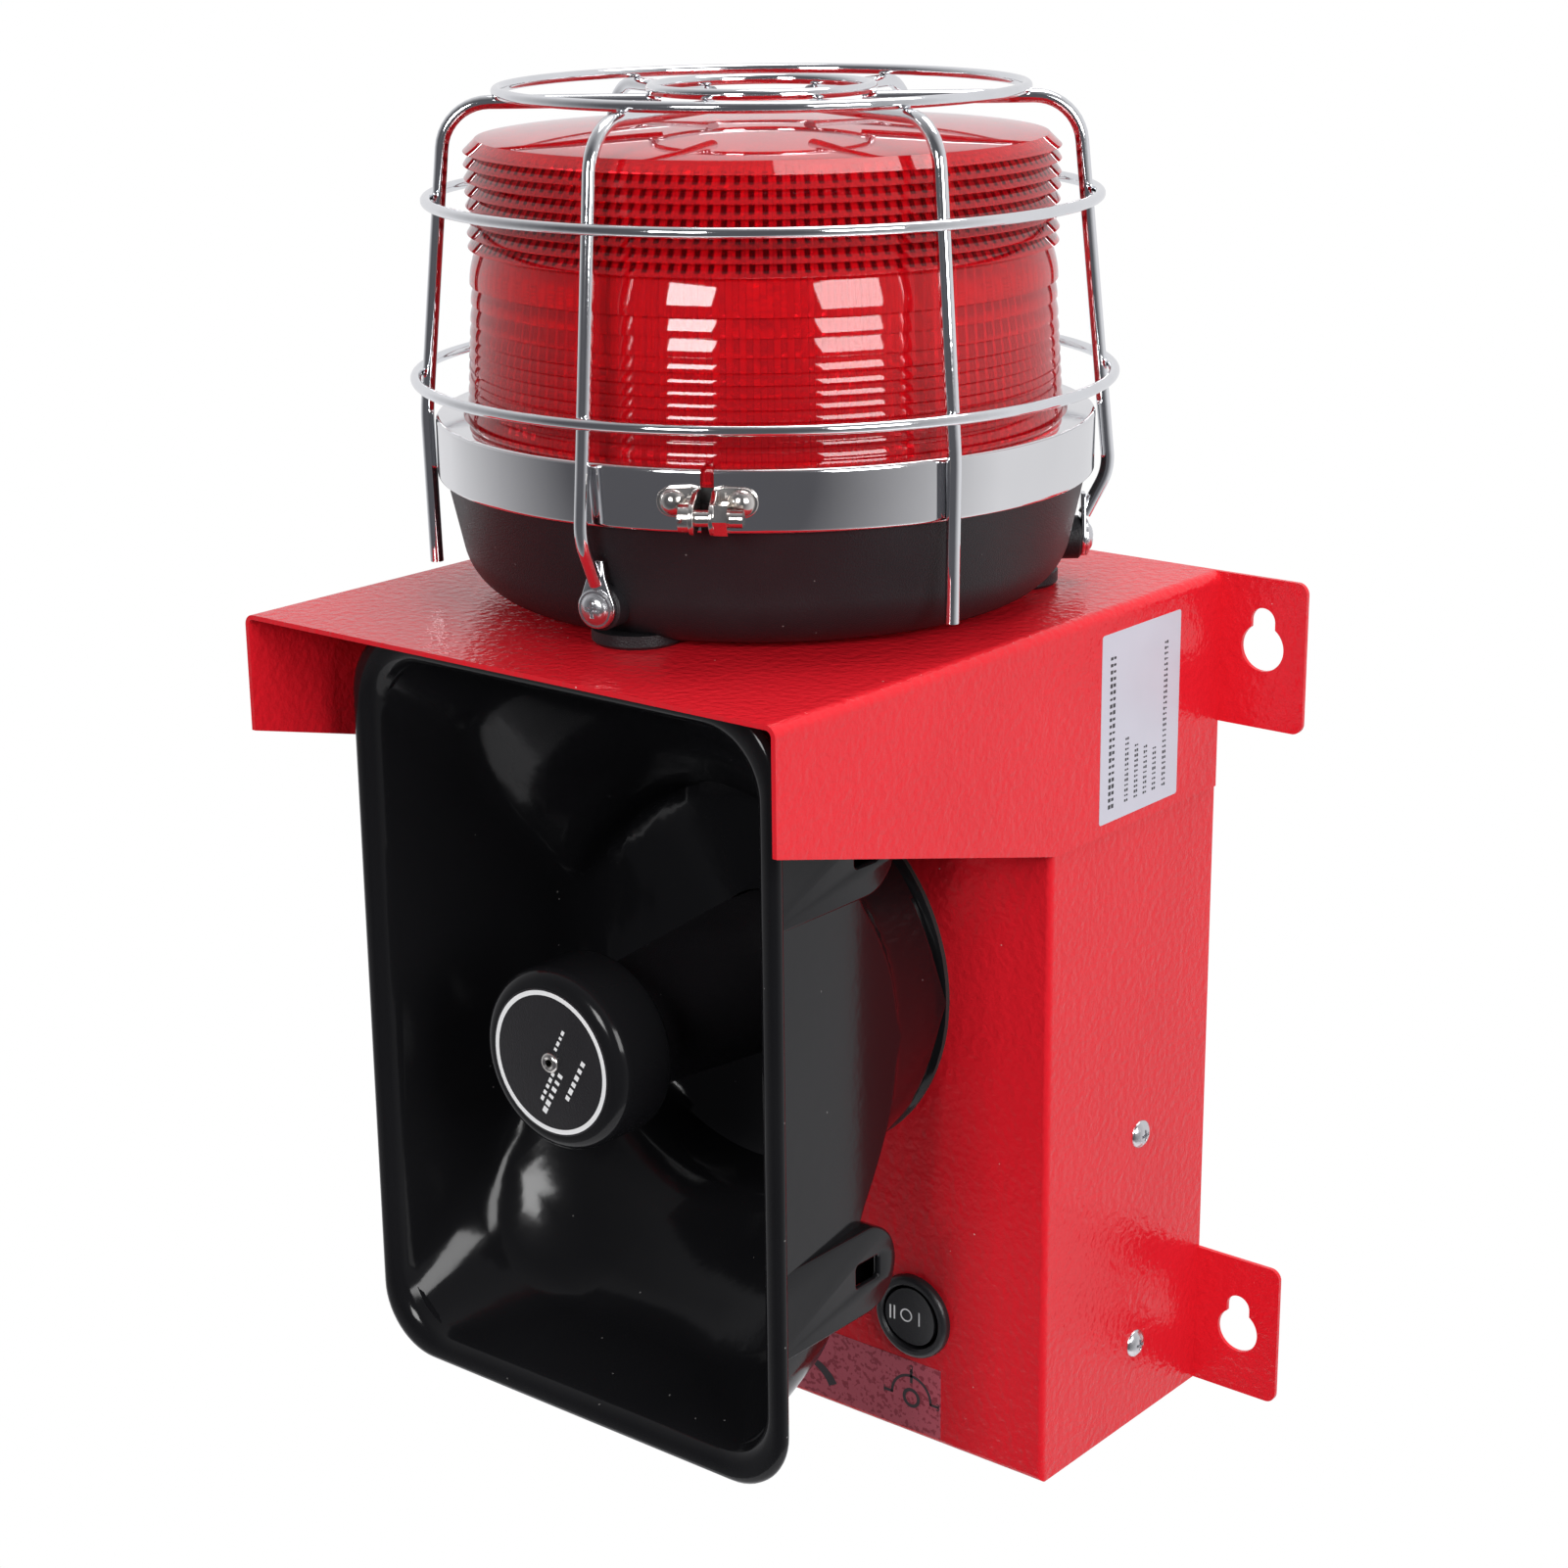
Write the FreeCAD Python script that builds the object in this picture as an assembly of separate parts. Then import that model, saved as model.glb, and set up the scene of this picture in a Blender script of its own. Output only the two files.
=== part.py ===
import FreeCAD, Part
import math
import os

# Wall-mounted alarm siren: a sheet-steel box and hood, a re-entrant horn
# loudspeaker on its front, and a caged flashing beacon on its top.
# Millimetres. X is across, Y points into the wall, Z is up.
# The origin is on the wall plane, at half the height of the box.

V = FreeCAD.Vector
os.makedirs("parts", exist_ok=True)

# ---------------------------------------------------------------- sizes
# Sheet-steel enclosure
HOOD_WIDTH = 170.0
HOOD_DEPTH = 184.0
BOX_DEPTH = 76.0
HEIGHT = 232.0
SHEET = 1.2
BEND_RADIUS = 1.6
FLANGE_FRONT = 30.0
FLANGE_REAR = 58.0
EAR_REACH = 25.0
EAR_HEIGHT = 40.0
EAR_CORNER = 3.0
KEYHOLE_EDGE = 12.5
KEYHOLE_END = 18.5
KEYHOLE_RADIUS = 6.25
KEYHOLE_SLOT_RADIUS = 3.55
KEYHOLE_RISE = 7.0

# Bay under the driver: the tray and its parts are set out for this height, and scaled to the real one
BAY_HEIGHT = 84.5

# Chassis tray and its side screws
TRAY_STANDOFF = 22.8
TRAY_BOTTOM = 12.0
TRAY_TOP = 96.0
TRAY_SCREW_HOLE = 1.3
TRAY_FLANGE = 16.0
SIDE_SCREW_SETBACK = 32.0
SIDE_SCREW_HEIGHTS = (23.0, 84.6)
SIDE_SCREW_RADIUS = 1.9
SIDE_SCREW_HEAD = 3.9

# Labels
LABEL_WIDTH = 36.0
LABEL_HEIGHT = 49.0
LABEL_SETBACK = 21.0
LABEL_DROP = 6.0
LABEL_THICKNESS = 0.15
STICKER_RIGHT = 50.8
STICKER_LENGTH = 66.0
STICKER_HEIGHT = 20.5

# Horn: forward distances are counted from the wall
HORN_DROP = 103.5
RIM_FORWARD = 165.0
RIM_WIDTH = 138.0
RIM_HEIGHT = 198.0
RIM_CORNER = 17.0
RIM_LIP = 6.0
RIM_THICKNESS = 3.0
BELL_WALL = 2.5
BELL_FLANGE = 4.0
BELL_FLANGE_RADIUS = 53.0
BELL_BORE = 21.0
THROAT_NECK = (74.295, 93.5, 36.0)
THROAT_END = (59.69, 59.84, 29.0)
GASKET_THICKNESS = 1.5
LEG_OFFSET = 55.0
LEG_HEIGHT = 23.0
LEG_TIP_FORWARD = 112.0
LEG_SLOT = (9.0, 6.0)
HORN_BOLT_CIRCLE = 47.0
BOLT_HEAD_FLATS = 8.0
BOLT_HEAD_HEIGHT = 3.2
THROAT_FLANGE_RADIUS = 30.0
HORN_BOLT_RADIUS = 2.4
HORN_BOLT_ANGLES = (60.0, 180.0, 300.0)
CAP_FORWARD = 168.7
CAP_RADIUS = 23.5
CAP_DEPTH = 18.5
CAP_WALL = 2.5
CAP_DISC_RADIUS = 19.0
CAP_DISC_THICKNESS = 0.3
TONE_TUBE_REAR = 20.5
TONE_TUBE_FRONT = 15.0
TONE_TUBE_BORE = 12.5
RIVET_RADIUS = 1.6

# Compression driver
DRIVER_RADIUS = 44.0
DRIVER_REAR_GAP = 5.3
DRIVER_WALL = 3.0
MAGNET_RADIUS = 38.0
MAGNET_INSET = 24.5
IRON_THICKNESS = 5.0
POLE_RADIUS = 16.5
COIL_RADIUS = 17.4
COIL_WALL = 0.8
COIL_GAP = 0.8

# Rocker switch
SWITCH_X = 42.0
SWITCH_RISE = 36.0
BEZEL_RADIUS = 11.75
BEZEL_THICKNESS = 2.4
SWITCH_BODY_RADIUS = 10.0
SWITCH_OPENING = 9.1
SWITCH_DEPTH = 14.0
ROCKER_RADIUS = 8.1
ROCKER_PIN_RADIUS = 1.2
RUNNING_CLEARANCE = 0.05

# Turned controls on the bottom face
VOLUME_X = 4.0
TONE_X = 40.0
CONTROL_INSET = 18.0
CONTROL_SHAFT_RADIUS = 3.0
CONTROL_BUSH_RADIUS = 3.9
CONTROL_BODY_RADIUS = 8.0
CONTROL_BODY_HEIGHT = 9.0

# Cable gland on the bottom face
GLAND_X = -50.0
GLAND_SETBACK = 40.0
GLAND_THREAD = 7.8
GLAND_BORE = 4.2
GLAND_FLATS = 20.0

# Amplifier board
BOARD_X = (-62.0, 52.0)
BOARD_MARGIN = 6.0
BOARD_STANDOFF = 5.4
BOARD_THICKNESS = 1.6
BOARD_SCREW_INSET = 5.0
BOARD_SCREW_RADIUS = 1.25
BOARD_SCREW_HEAD = 2.8
BOARD_SCREW_HEAD_HEIGHT = 1.8
BOARD_HOLE_RADIUS = 1.6
TRANSFORMER_GAP = 8.8
TRANSFORMER_LEFT = 32.0
CAN_RADIUS = 5.0
CAN_LENGTH = 20.0
SINK_DEPTH = 18.0
FIN_THICKNESS = 1.6
TERMINAL_DEPTH = 12.0

# Beacon: its axis stands on the hood
BEACON_SETBACK = 83.0
FOOT_GAP = 1.0
BASE_CORNER = 16.0
BASE_DRAFT = 12.0
BASE_WALL = 2.6
BASE_FLOOR = 3.0
FLANGE_RADIUS = 81.5
BASE_FLANGE_BOTTOM = 32.0
BASE_FLANGE_TOP = 38.2
BASE_NECK_RADIUS = 80.5
SEAL_THICKNESS = 3.6
LENS_FLANGE = 3.6
LENS_FOOT_RADIUS = 75.0
LENS_WAIST_RADIUS = 72.8
LENS_TOP_RADIUS = 73.4
LENS_TOP = 117.0
LENS_SHOULDER = LENS_TOP - 6.4
LENS_CHAMFER = 3.0
LENS_WALL = 2.5
BAND_THICKNESS = 0.8
BAND_CLEARANCE = 0.2
BAND_GAP = 3.1
BAND_GAP_ANGLE = -59.8
BRACKET_THICKNESS = 1.2
BRACKET_REACH = 11.4
BRACKET_RIVET = 7.8
BRACKET_HEIGHT = 7.0
LUG_REACH = 8.8
LUG_RADIUS = 4.2
RIVET_HEAD_RADIUS = 3.1
DRAW_SCREW_RADIUS = 2.0
CABLE_HOLE_SETBACK = 50.0
CABLE_HOLE_RADIUS = 6.0
BASE_BOLT_CIRCLE = 45.0
BASE_BOLT_RADIUS = 2.4
BASE_BOLT_ANGLES = (90.0, 210.0, 330.0)

# Guard cage
RING_WIRE = 1.35
RIB_WIRE = 1.7
WELD = 0.1
TOP_RING = (64.5, LENS_TOP + 7.6)
EYE_RING_RADIUS = 27.0
MID_RING = (82.6, LENS_TOP - 18.0)
LOW_RING = (86.9, 55.8)
RIB_BEND = 12.0
RIB_COUNT = 6
RIB_FIRST_ANGLE = -80.0
RIB_END_HEIGHT = 7.6
SPADE_RADIUS = 4.8
SPADE_THICKNESS = 1.2
CAGE_SCREW_HEIGHT = 11.5
CAGE_SCREW_RADIUS = 1.6
CAGE_SCREW_HEAD = 4.75

# Light column
COLUMN_FLAT = 22.0
COLUMN_WALL = 2.0
COLUMN_HEIGHT = LENS_TOP - 25.0
COLUMN_FLANGE_RADIUS = 35.0
COLUMN_FLANGE = 3.0
COLUMN_SCREW_CIRCLE = 30.0
COLUMN_SCREW_ANGLES = (0, 120, 240)
LED_ROWS = 6
LED_SIZE = 5.0
LED_HEIGHT = 1.6

# ---------------------------------------------------------------- derived
TOP = HEIGHT / 2
BOTTOM = -HEIGHT / 2
HALF = HOOD_WIDTH / 2
BOX_HALF = HALF - SHEET
FRONT_IN = BOX_DEPTH - SHEET
HORN_Z = TOP - HORN_DROP
FLOOR_IN = BOTTOM + SHEET
CONTROL_SETBACK = BOX_DEPTH - CONTROL_INSET
BOARD_FACE = TRAY_STANDOFF + SHEET + BOARD_STANDOFF + BOARD_THICKNESS
DRIVER_DEPTH = FRONT_IN - BOARD_FACE - DRIVER_REAR_GAP
MAGNET_THICKNESS = DRIVER_DEPTH - MAGNET_INSET
TRANSFORMER_DEPTH = FRONT_IN - BOARD_FACE - TRANSFORMER_GAP
BAY_SCALE = (HEIGHT - HORN_DROP - DRIVER_RADIUS) / BAY_HEIGHT
TRAY_LOW = BOTTOM + TRAY_BOTTOM * BAY_SCALE
TRAY_HIGH = BOTTOM + TRAY_TOP * BAY_SCALE
SWITCH_Z = BOTTOM + SWITCH_RISE
RIB_STEP = 360.0 / RIB_COUNT


# ---------------------------------------------------------------- helpers
def block(x0, x1, y0, y1, z0, z1):
    return Part.makeBox(x1 - x0, y1 - y0, z1 - z0, V(x0, y0, z0))


def rod(radius, start, end):
    start = V(*start)
    run = V(*end) - start
    return Part.makeCylinder(radius, run.Length, start, run)


def tube(outer, inner, start, end):
    return rod(outer, start, end).cut(rod(inner, start, end))


def hex_bar(across_flats, start, end):
    """A six-sided bar along any line."""
    start = V(*start)
    run = V(*end) - start
    corner = across_flats / math.sqrt(3)
    points = [V(corner * math.cos(math.radians(60 * k)), corner * math.sin(math.radians(60 * k)), 0)
              for k in range(7)]
    bar = Part.Face(Part.makePolygon(points)).extrude(V(0, 0, run.Length))
    bar.Placement = FreeCAD.Placement(start, FreeCAD.Rotation(V(0, 0, 1), run))
    return bar


def outline(start, steps, place):
    """A closed wire: a step is a point, or (middle, end) for an arc."""
    here = place(*start)
    edges = []
    for step in steps + [start]:
        if isinstance(step[0], tuple):
            there = place(*step[1])
            edges.append(Part.Arc(here, place(*step[0]), there).toShape())
        else:
            there = place(*step)
            edges.append(Part.LineSegment(here, there).toShape())
        here = there
    return Part.Wire(edges)


def prism_along_x(points, x0, x1):
    """A side outline of (y, z) points, pushed from x0 to x1."""
    wire = Part.makePolygon([V(x0, y, z) for y, z in points + [points[0]]])
    return Part.Face(wire).extrude(V(x1 - x0, 0, 0))


def turned(start, steps):
    """A (radius, height) outline turned about the Z axis."""
    wire = outline(start, steps, lambda r, h: V(r, 0, h))
    return Part.Face(wire).revolve(V(0, 0, 0), V(0, 0, 1), 360)


def on_horn(shape):
    """Local +Z becomes forward along the horn's axis, counted from the wall."""
    shape.Placement = FreeCAD.Placement(V(0, 0, HORN_Z), FreeCAD.Rotation(V(1, 0, 0), 90))
    return shape


def on_beacon(shape, angle=0.0):
    """Local X points outwards at the given angle, heights are above the hood."""
    turn = FreeCAD.Rotation(V(0, 0, 1), angle)
    shape.Placement = FreeCAD.Placement(V(0, -BEACON_SETBACK, TOP), turn).multiply(shape.Placement)
    return shape


def dome_arc(radius, rise, top):
    """The (radius, height) halfway point of a shallow dome's arc, from its rim or its crown."""
    sphere = (radius ** 2 + rise ** 2) / (2 * rise)
    return radius / 2, top - sphere + math.sqrt(sphere ** 2 - radius ** 2 / 4)


def fused(shapes):
    whole = shapes[0]
    if len(shapes) > 1:
        whole = whole.multiFuse(shapes[1:])
    return whole.removeSplitter()


def save(name, shapes):
    """One node: a single solid, or a group of separate solids."""
    if not isinstance(shapes, list):
        shapes = [shapes]
    solids = [solid for shape in shapes for solid in shape.Solids]
    node = solids[0] if len(solids) == 1 else Part.makeCompound(solids)
    if not node.isValid():
        raise ValueError(name + " is not a valid shape")
    node.exportStep("parts/" + name + ".step")
    print(name, len(solids), "solids", round(node.Volume, 1), "mm3")


def beacon_point(radius, angle, z=0.0):
    a = math.radians(angle)
    return (radius * math.cos(a), radius * math.sin(a) - BEACON_SETBACK, z)


# ---------------------------------------------------------------- enclosure
def make_hood():
    outer = block(-HALF, HALF, -HOOD_DEPTH, -SHEET, TOP - FLANGE_REAR, TOP)
    ridges = [e for e in outer.Edges
              if abs(e.CenterOfMass.z - TOP) < 0.01 and abs(abs(e.CenterOfMass.x) - HALF) < 0.01]
    outer = outer.makeFillet(BEND_RADIUS + SHEET, ridges)
    inner = block(-BOX_HALF, BOX_HALF, -HOOD_DEPTH, -SHEET, TOP - FLANGE_REAR, TOP - SHEET)
    ridges = [e for e in inner.Edges
              if abs(e.CenterOfMass.z - TOP + SHEET) < 0.01 and abs(abs(e.CenterOfMass.x) - BOX_HALF) < 0.01]
    inner = inner.makeFillet(BEND_RADIUS, ridges)
    slope = prism_along_x([(-HOOD_DEPTH, TOP - FLANGE_FRONT), (-BOX_DEPTH, TOP - FLANGE_REAR),
                           (-BOX_DEPTH, TOP - FLANGE_REAR - 1), (-HOOD_DEPTH, TOP - FLANGE_REAR - 1)],
                          -HALF, HALF)
    hood = outer.cut(inner).cut(slope)
    holes = [rod(CABLE_HOLE_RADIUS, (0, -CABLE_HOLE_SETBACK, TOP - SHEET), (0, -CABLE_HOLE_SETBACK, TOP))]
    for angle in BASE_BOLT_ANGLES:
        low = beacon_point(BASE_BOLT_CIRCLE, angle, TOP - SHEET)
        high = beacon_point(BASE_BOLT_CIRCLE, angle, TOP)
        holes.append(rod(BASE_BOLT_RADIUS + 0.1, low, high))
    save("hood", hood.cut(Part.makeCompound(holes)))


def side_screw_places():
    for side in (-1, 1):
        for height in SIDE_SCREW_HEIGHTS:
            yield side, BOTTOM + height * BAY_SCALE


def make_box_body():
    outer = block(-BOX_HALF, BOX_HALF, -BOX_DEPTH, -SHEET, BOTTOM, TOP - SHEET)
    inner = block(-BOX_HALF + SHEET, BOX_HALF - SHEET, -FRONT_IN, -SHEET, FLOOR_IN, TOP - SHEET)
    front_bends = [e for e in outer.Edges if abs(e.CenterOfMass.y + BOX_DEPTH) < 0.01
                   and e.CenterOfMass.z < TOP - SHEET - 1]
    outer = outer.makeFillet(BEND_RADIUS, front_bends)
    crown = prism_along_x([(-BOX_DEPTH, TOP - SHEET - BEND_RADIUS - SHEET),
                           (-SHEET, TOP - SHEET - BEND_RADIUS - SHEET),
                           (-SHEET, TOP), (-BOX_DEPTH, TOP)], -BOX_HALF, BOX_HALF)
    body = outer.cut(inner).cut(crown)
    holes = []
    for angle in HORN_BOLT_ANGLES:
        x = HORN_BOLT_CIRCLE * math.cos(math.radians(angle))
        z = HORN_Z + HORN_BOLT_CIRCLE * math.sin(math.radians(angle))
        holes.append(rod(HORN_BOLT_RADIUS + 0.1, (x, -BOX_DEPTH, z), (x, -FRONT_IN, z)))
    holes.append(rod(BELL_BORE, (0, -BOX_DEPTH, HORN_Z), (0, -FRONT_IN, HORN_Z)))
    holes.append(rod(SWITCH_BODY_RADIUS + 0.1, (SWITCH_X, -BOX_DEPTH, SWITCH_Z),
                     (SWITCH_X, -FRONT_IN, SWITCH_Z)))
    for x in (VOLUME_X, TONE_X):
        holes.append(rod(CONTROL_BUSH_RADIUS + 0.1, (x, -CONTROL_SETBACK, BOTTOM),
                         (x, -CONTROL_SETBACK, FLOOR_IN)))
    holes.append(rod(GLAND_THREAD + 0.2, (GLAND_X, -GLAND_SETBACK, BOTTOM),
                     (GLAND_X, -GLAND_SETBACK, FLOOR_IN)))
    for side, z in side_screw_places():
        holes.append(rod(SIDE_SCREW_RADIUS + 0.1, (side * (BOX_HALF - SHEET), -SIDE_SCREW_SETBACK, z),
                         (side * BOX_HALF, -SIDE_SCREW_SETBACK, z)))
    save("box_body", body.cut(Part.makeCompound(holes)))


def keyhole(x, z):
    big = rod(KEYHOLE_RADIUS, (x, -SHEET, z), (x, 0, z))
    small = rod(KEYHOLE_SLOT_RADIUS, (x, -SHEET, z + KEYHOLE_RISE), (x, 0, z + KEYHOLE_RISE))
    neck = block(x - KEYHOLE_SLOT_RADIUS, x + KEYHOLE_SLOT_RADIUS, -SHEET, 0, z, z + KEYHOLE_RISE)
    return big.multiFuse([small, neck])


def make_back_plate():
    plate = block(-BOX_HALF, BOX_HALF, -SHEET, 0, BOTTOM, TOP)
    ears = []
    keyholes = []
    reach = HALF + EAR_REACH
    for low, hole in ((TOP - EAR_HEIGHT, TOP - KEYHOLE_END), (BOTTOM, BOTTOM + KEYHOLE_END)):
        strip = block(-reach, reach, -SHEET, 0, low, low + EAR_HEIGHT)
        corners = [e for e in strip.Edges if abs(abs(e.CenterOfMass.x) - reach) < 0.01
                   and abs(e.CenterOfMass.y + SHEET / 2) < 0.01]
        ears.append(strip.makeFillet(EAR_CORNER, corners))
        keyholes += [keyhole(reach - KEYHOLE_EDGE, hole), keyhole(-reach + KEYHOLE_EDGE, hole)]
    save("back_plate", fused([plate] + ears).cut(Part.makeCompound(keyholes)))


def board_corners():
    inset = BOARD_SCREW_INSET
    low = TRAY_LOW + BOARD_MARGIN + inset
    high = TRAY_HIGH - BOARD_MARGIN - inset
    return [(x, z) for x in (BOARD_X[0] + inset, BOARD_X[1] - inset) for z in (low, high)]


def make_inner_tray():
    half = BOX_HALF - SHEET
    back = -TRAY_STANDOFF
    plate = block(-half, half, back - SHEET, back, TRAY_LOW, TRAY_HIGH)
    flanges = [block(side * half - (SHEET if side > 0 else 0), side * half + (0 if side > 0 else SHEET),
                     back - TRAY_FLANGE, back, TRAY_LOW, TRAY_HIGH) for side in (-1, 1)]
    holes = [rod(SIDE_SCREW_RADIUS + 0.1, (side * (half - SHEET), -SIDE_SCREW_SETBACK, z),
                 (side * half, -SIDE_SCREW_SETBACK, z)) for side, z in side_screw_places()]
    holes += [rod(TRAY_SCREW_HOLE, (x, back - SHEET, z), (x, back, z)) for x, z in board_corners()]
    save("inner_tray", fused([plate] + flanges).cut(Part.makeCompound(holes)))


def make_side_screws():
    screws = []
    for side, z in side_screw_places():
        face = side * BOX_HALF
        head = turned((0, 0), [(SIDE_SCREW_HEAD, 0), (SIDE_SCREW_HEAD, 0.5),
                               ((SIDE_SCREW_HEAD * 0.72, 1.75), (0.9, 2.2)), (0.9, 1.2), (0, 1.2)])
        head.Placement = FreeCAD.Placement(V(face, -SIDE_SCREW_SETBACK, z),
                                           FreeCAD.Rotation(V(0, 1, 0), 90 * side))
        shank = rod(SIDE_SCREW_RADIUS, (face, -SIDE_SCREW_SETBACK, z),
                    (side * (BOX_HALF - 2 * SHEET - 4), -SIDE_SCREW_SETBACK, z))
        screws.append(fused([head, shank]))
    save("side_screws", screws)


def make_labels():
    top = TOP - LABEL_DROP
    save("spec_label", block(HALF, HALF + LABEL_THICKNESS, -LABEL_SETBACK - LABEL_WIDTH, -LABEL_SETBACK,
                             top - LABEL_HEIGHT, top))
    low = BOTTOM + BEND_RADIUS
    save("control_sticker", block(STICKER_RIGHT - STICKER_LENGTH, STICKER_RIGHT,
                                  -BOX_DEPTH - LABEL_THICKNESS,
                                  -BOX_DEPTH, low, low + STICKER_HEIGHT))


def make_gland():
    x, y = GLAND_X, -GLAND_SETBACK

    def at(z):
        return (x, y, BOTTOM + z)
    body = fused([hex_bar(GLAND_FLATS, at(-5), at(0)), rod(GLAND_THREAD, at(0), at(9)),
                  rod(7.2, at(-11), at(-5))])
    body = body.cut(rod(GLAND_BORE, at(-5), at(9))).cut(rod(6.6, at(-11), at(-5)))
    save("gland_body", body)
    save("gland_locknut", hex_bar(GLAND_FLATS, at(SHEET), at(SHEET + 4)).cut(rod(GLAND_THREAD + 0.05,
                                                                                 at(SHEET),
                                                                        at(SHEET + 4))))
    save("gland_seal", tube(6.5, GLAND_BORE, at(-15), at(-5)))
    cap = turned((4.3, -18), [(7.0, -18), ((9.2, -17.0), (10.0, -14.5)), (10.0, -5.3), (7.3, -5.3),
                              (7.3, -11.5),
                              (6.6, -11.5), (6.6, -15), (4.3, -15)])
    cap.translate(V(x, y, BOTTOM))
    grips = [rod(0.6, (x + 10.2 * math.cos(a), y + 10.2 * math.sin(a), BOTTOM - 14),
                 (x + 10.2 * math.cos(a), y + 10.2 * math.sin(a), BOTTOM - 5))
             for a in [math.radians(20 * k) for k in range(18)]]
    save("gland_cap", cap.cut(Part.makeCompound(grips)))


# ---------------------------------------------------------------- horn
def rounded(width, height, corner, forward):
    """A rounded rectangle across the horn's axis: always four lines and four arcs."""
    w, h = width / 2, height / 2
    r = min(corner, w - 0.5, h - 0.5)
    k = r * (1 - math.sqrt(0.5))
    ends = [V(w, -h + r, forward), V(w, h - r, forward), V(w - r, h, forward), V(-w + r, h, forward),
            V(-w, h - r, forward), V(-w, -h + r, forward), V(-w + r, -h, forward), V(w - r, -h, forward)]
    middles = [V(w - k, h - k, forward), V(-w + k, h - k, forward),
               V(-w + k, -h + k, forward), V(w - k, -h + k, forward)]
    edges = []
    for i in range(4):
        edges.append(Part.LineSegment(ends[2 * i], ends[2 * i + 1]).toShape())
        edges.append(Part.Arc(ends[2 * i + 1], middles[i], ends[(2 * i + 2) % 8]).toShape())
    return Part.Wire(edges)


def bell_sections():
    """Outside of the bell: how far in from the rim, and how much it has narrowed there."""
    front = RIM_FORWARD - RIM_THICKNESS
    width = RIM_WIDTH - 2 * RIM_LIP + 1
    height = RIM_HEIGHT - 2 * RIM_LIP + 1
    depth = front - BOX_DEPTH - GASKET_THICKNESS - BELL_FLANGE
    shares = ((0.0, 1.0, 1.0, 22), (0.27, 0.965, 0.945, 34), (0.58, 0.91, 0.865, 44),
              (0.75, 0.855, 0.79, 48), (0.87, 0.74, 0.66, 44))
    sections = [(front - depth * back, width * a, height * b, corner) for back, a, b, corner in shares]
    return sections + [(front - depth * 0.94, *THROAT_NECK), (front - depth, *THROAT_END)]


def bell_legs(solid):
    """Four mounting legs beside the bell: hollow, round-ended, with a slot in each."""
    half = RIM_WIDTH / 2 - RIM_LIP
    inboard = half - 11
    r = LEG_HEIGHT / 2
    start = RIM_FORWARD - RIM_THICKNESS
    skin = 2.0
    legs = []
    for side in (-1, 1):
        for level in (-LEG_OFFSET, LEG_OFFSET):
            def leg(x0, x1, radius, first):
                bar = block(x0, x1, level - radius, level + radius, LEG_TIP_FORWARD + r, first)
                return bar.fuse(rod(radius, (x0, level, LEG_TIP_FORWARD + r),
                                    (x1, level, LEG_TIP_FORWARD + r)))
            xs = sorted((side * inboard, side * half))
            hollow = sorted((side * (inboard - 1), side * (half - skin)))
            shape = leg(xs[0], xs[1], r, start).cut(leg(hollow[0], hollow[1], r - skin, start - skin))
            length, height = LEG_SLOT
            slot = block(xs[0] - 1, xs[1] + 1, level - height / 2, level + height / 2,
                         LEG_TIP_FORWARD + r - length / 2, LEG_TIP_FORWARD + r + length / 2)
            legs.append(shape.cut(slot).cut(solid))
    return legs


def horn_bolt_points(forward):
    angles = [math.radians(a) for a in HORN_BOLT_ANGLES]
    return [(HORN_BOLT_CIRCLE * math.cos(a), HORN_BOLT_CIRCLE * math.sin(a), forward) for a in angles]


def drilled(shape, radius, near, far):
    holes = [rod(radius, a, b) for a, b in zip(horn_bolt_points(near), horn_bolt_points(far))]
    return shape.cut(Part.makeCompound(holes))


def make_horn_bell():
    sections = bell_sections()
    seat = BOX_DEPTH + GASKET_THICKNESS
    outer = Part.makeLoft([rounded(w, h, c, f) for f, w, h, c in sections], True, True)
    mouth = RIM_FORWARD + 1
    first = sections[0]
    inner_wires = [rounded(first[1] - 2 * BELL_WALL, first[2] - 2 * BELL_WALL, first[3] - BELL_WALL,
                           mouth)]
    inner_wires += [rounded(w - 2 * BELL_WALL, h - 2 * BELL_WALL, c - BELL_WALL, f)
                    for f, w, h, c in sections[:-1]]
    inner = Part.makeLoft(inner_wires, True, True)
    lip = Part.Face(rounded(RIM_WIDTH, RIM_HEIGHT, RIM_CORNER, RIM_FORWARD - RIM_THICKNESS))
    lip = lip.extrude(V(0, 0, RIM_THICKNESS))
    neck = rod(BELL_FLANGE_RADIUS, (0, 0, seat), (0, 0, seat + BELL_FLANGE))
    legs = bell_legs(outer)
    bell = outer.multiFuse([lip, neck]).cut(inner)
    bell = bell.multiFuse(legs)
    bell = bell.cut(rod(BELL_BORE, (0, 0, seat), (0, 0, RIM_FORWARD)))
    bell = drilled(bell, HORN_BOLT_RADIUS + 0.1, seat, seat + BELL_FLANGE)
    save("horn_bell", on_horn(bell))
    gasket = tube(BELL_FLANGE_RADIUS, BELL_BORE, (0, 0, BOX_DEPTH), (0, 0, seat))
    save("horn_gasket", on_horn(drilled(gasket, HORN_BOLT_RADIUS + 0.1, BOX_DEPTH, seat)))


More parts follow.
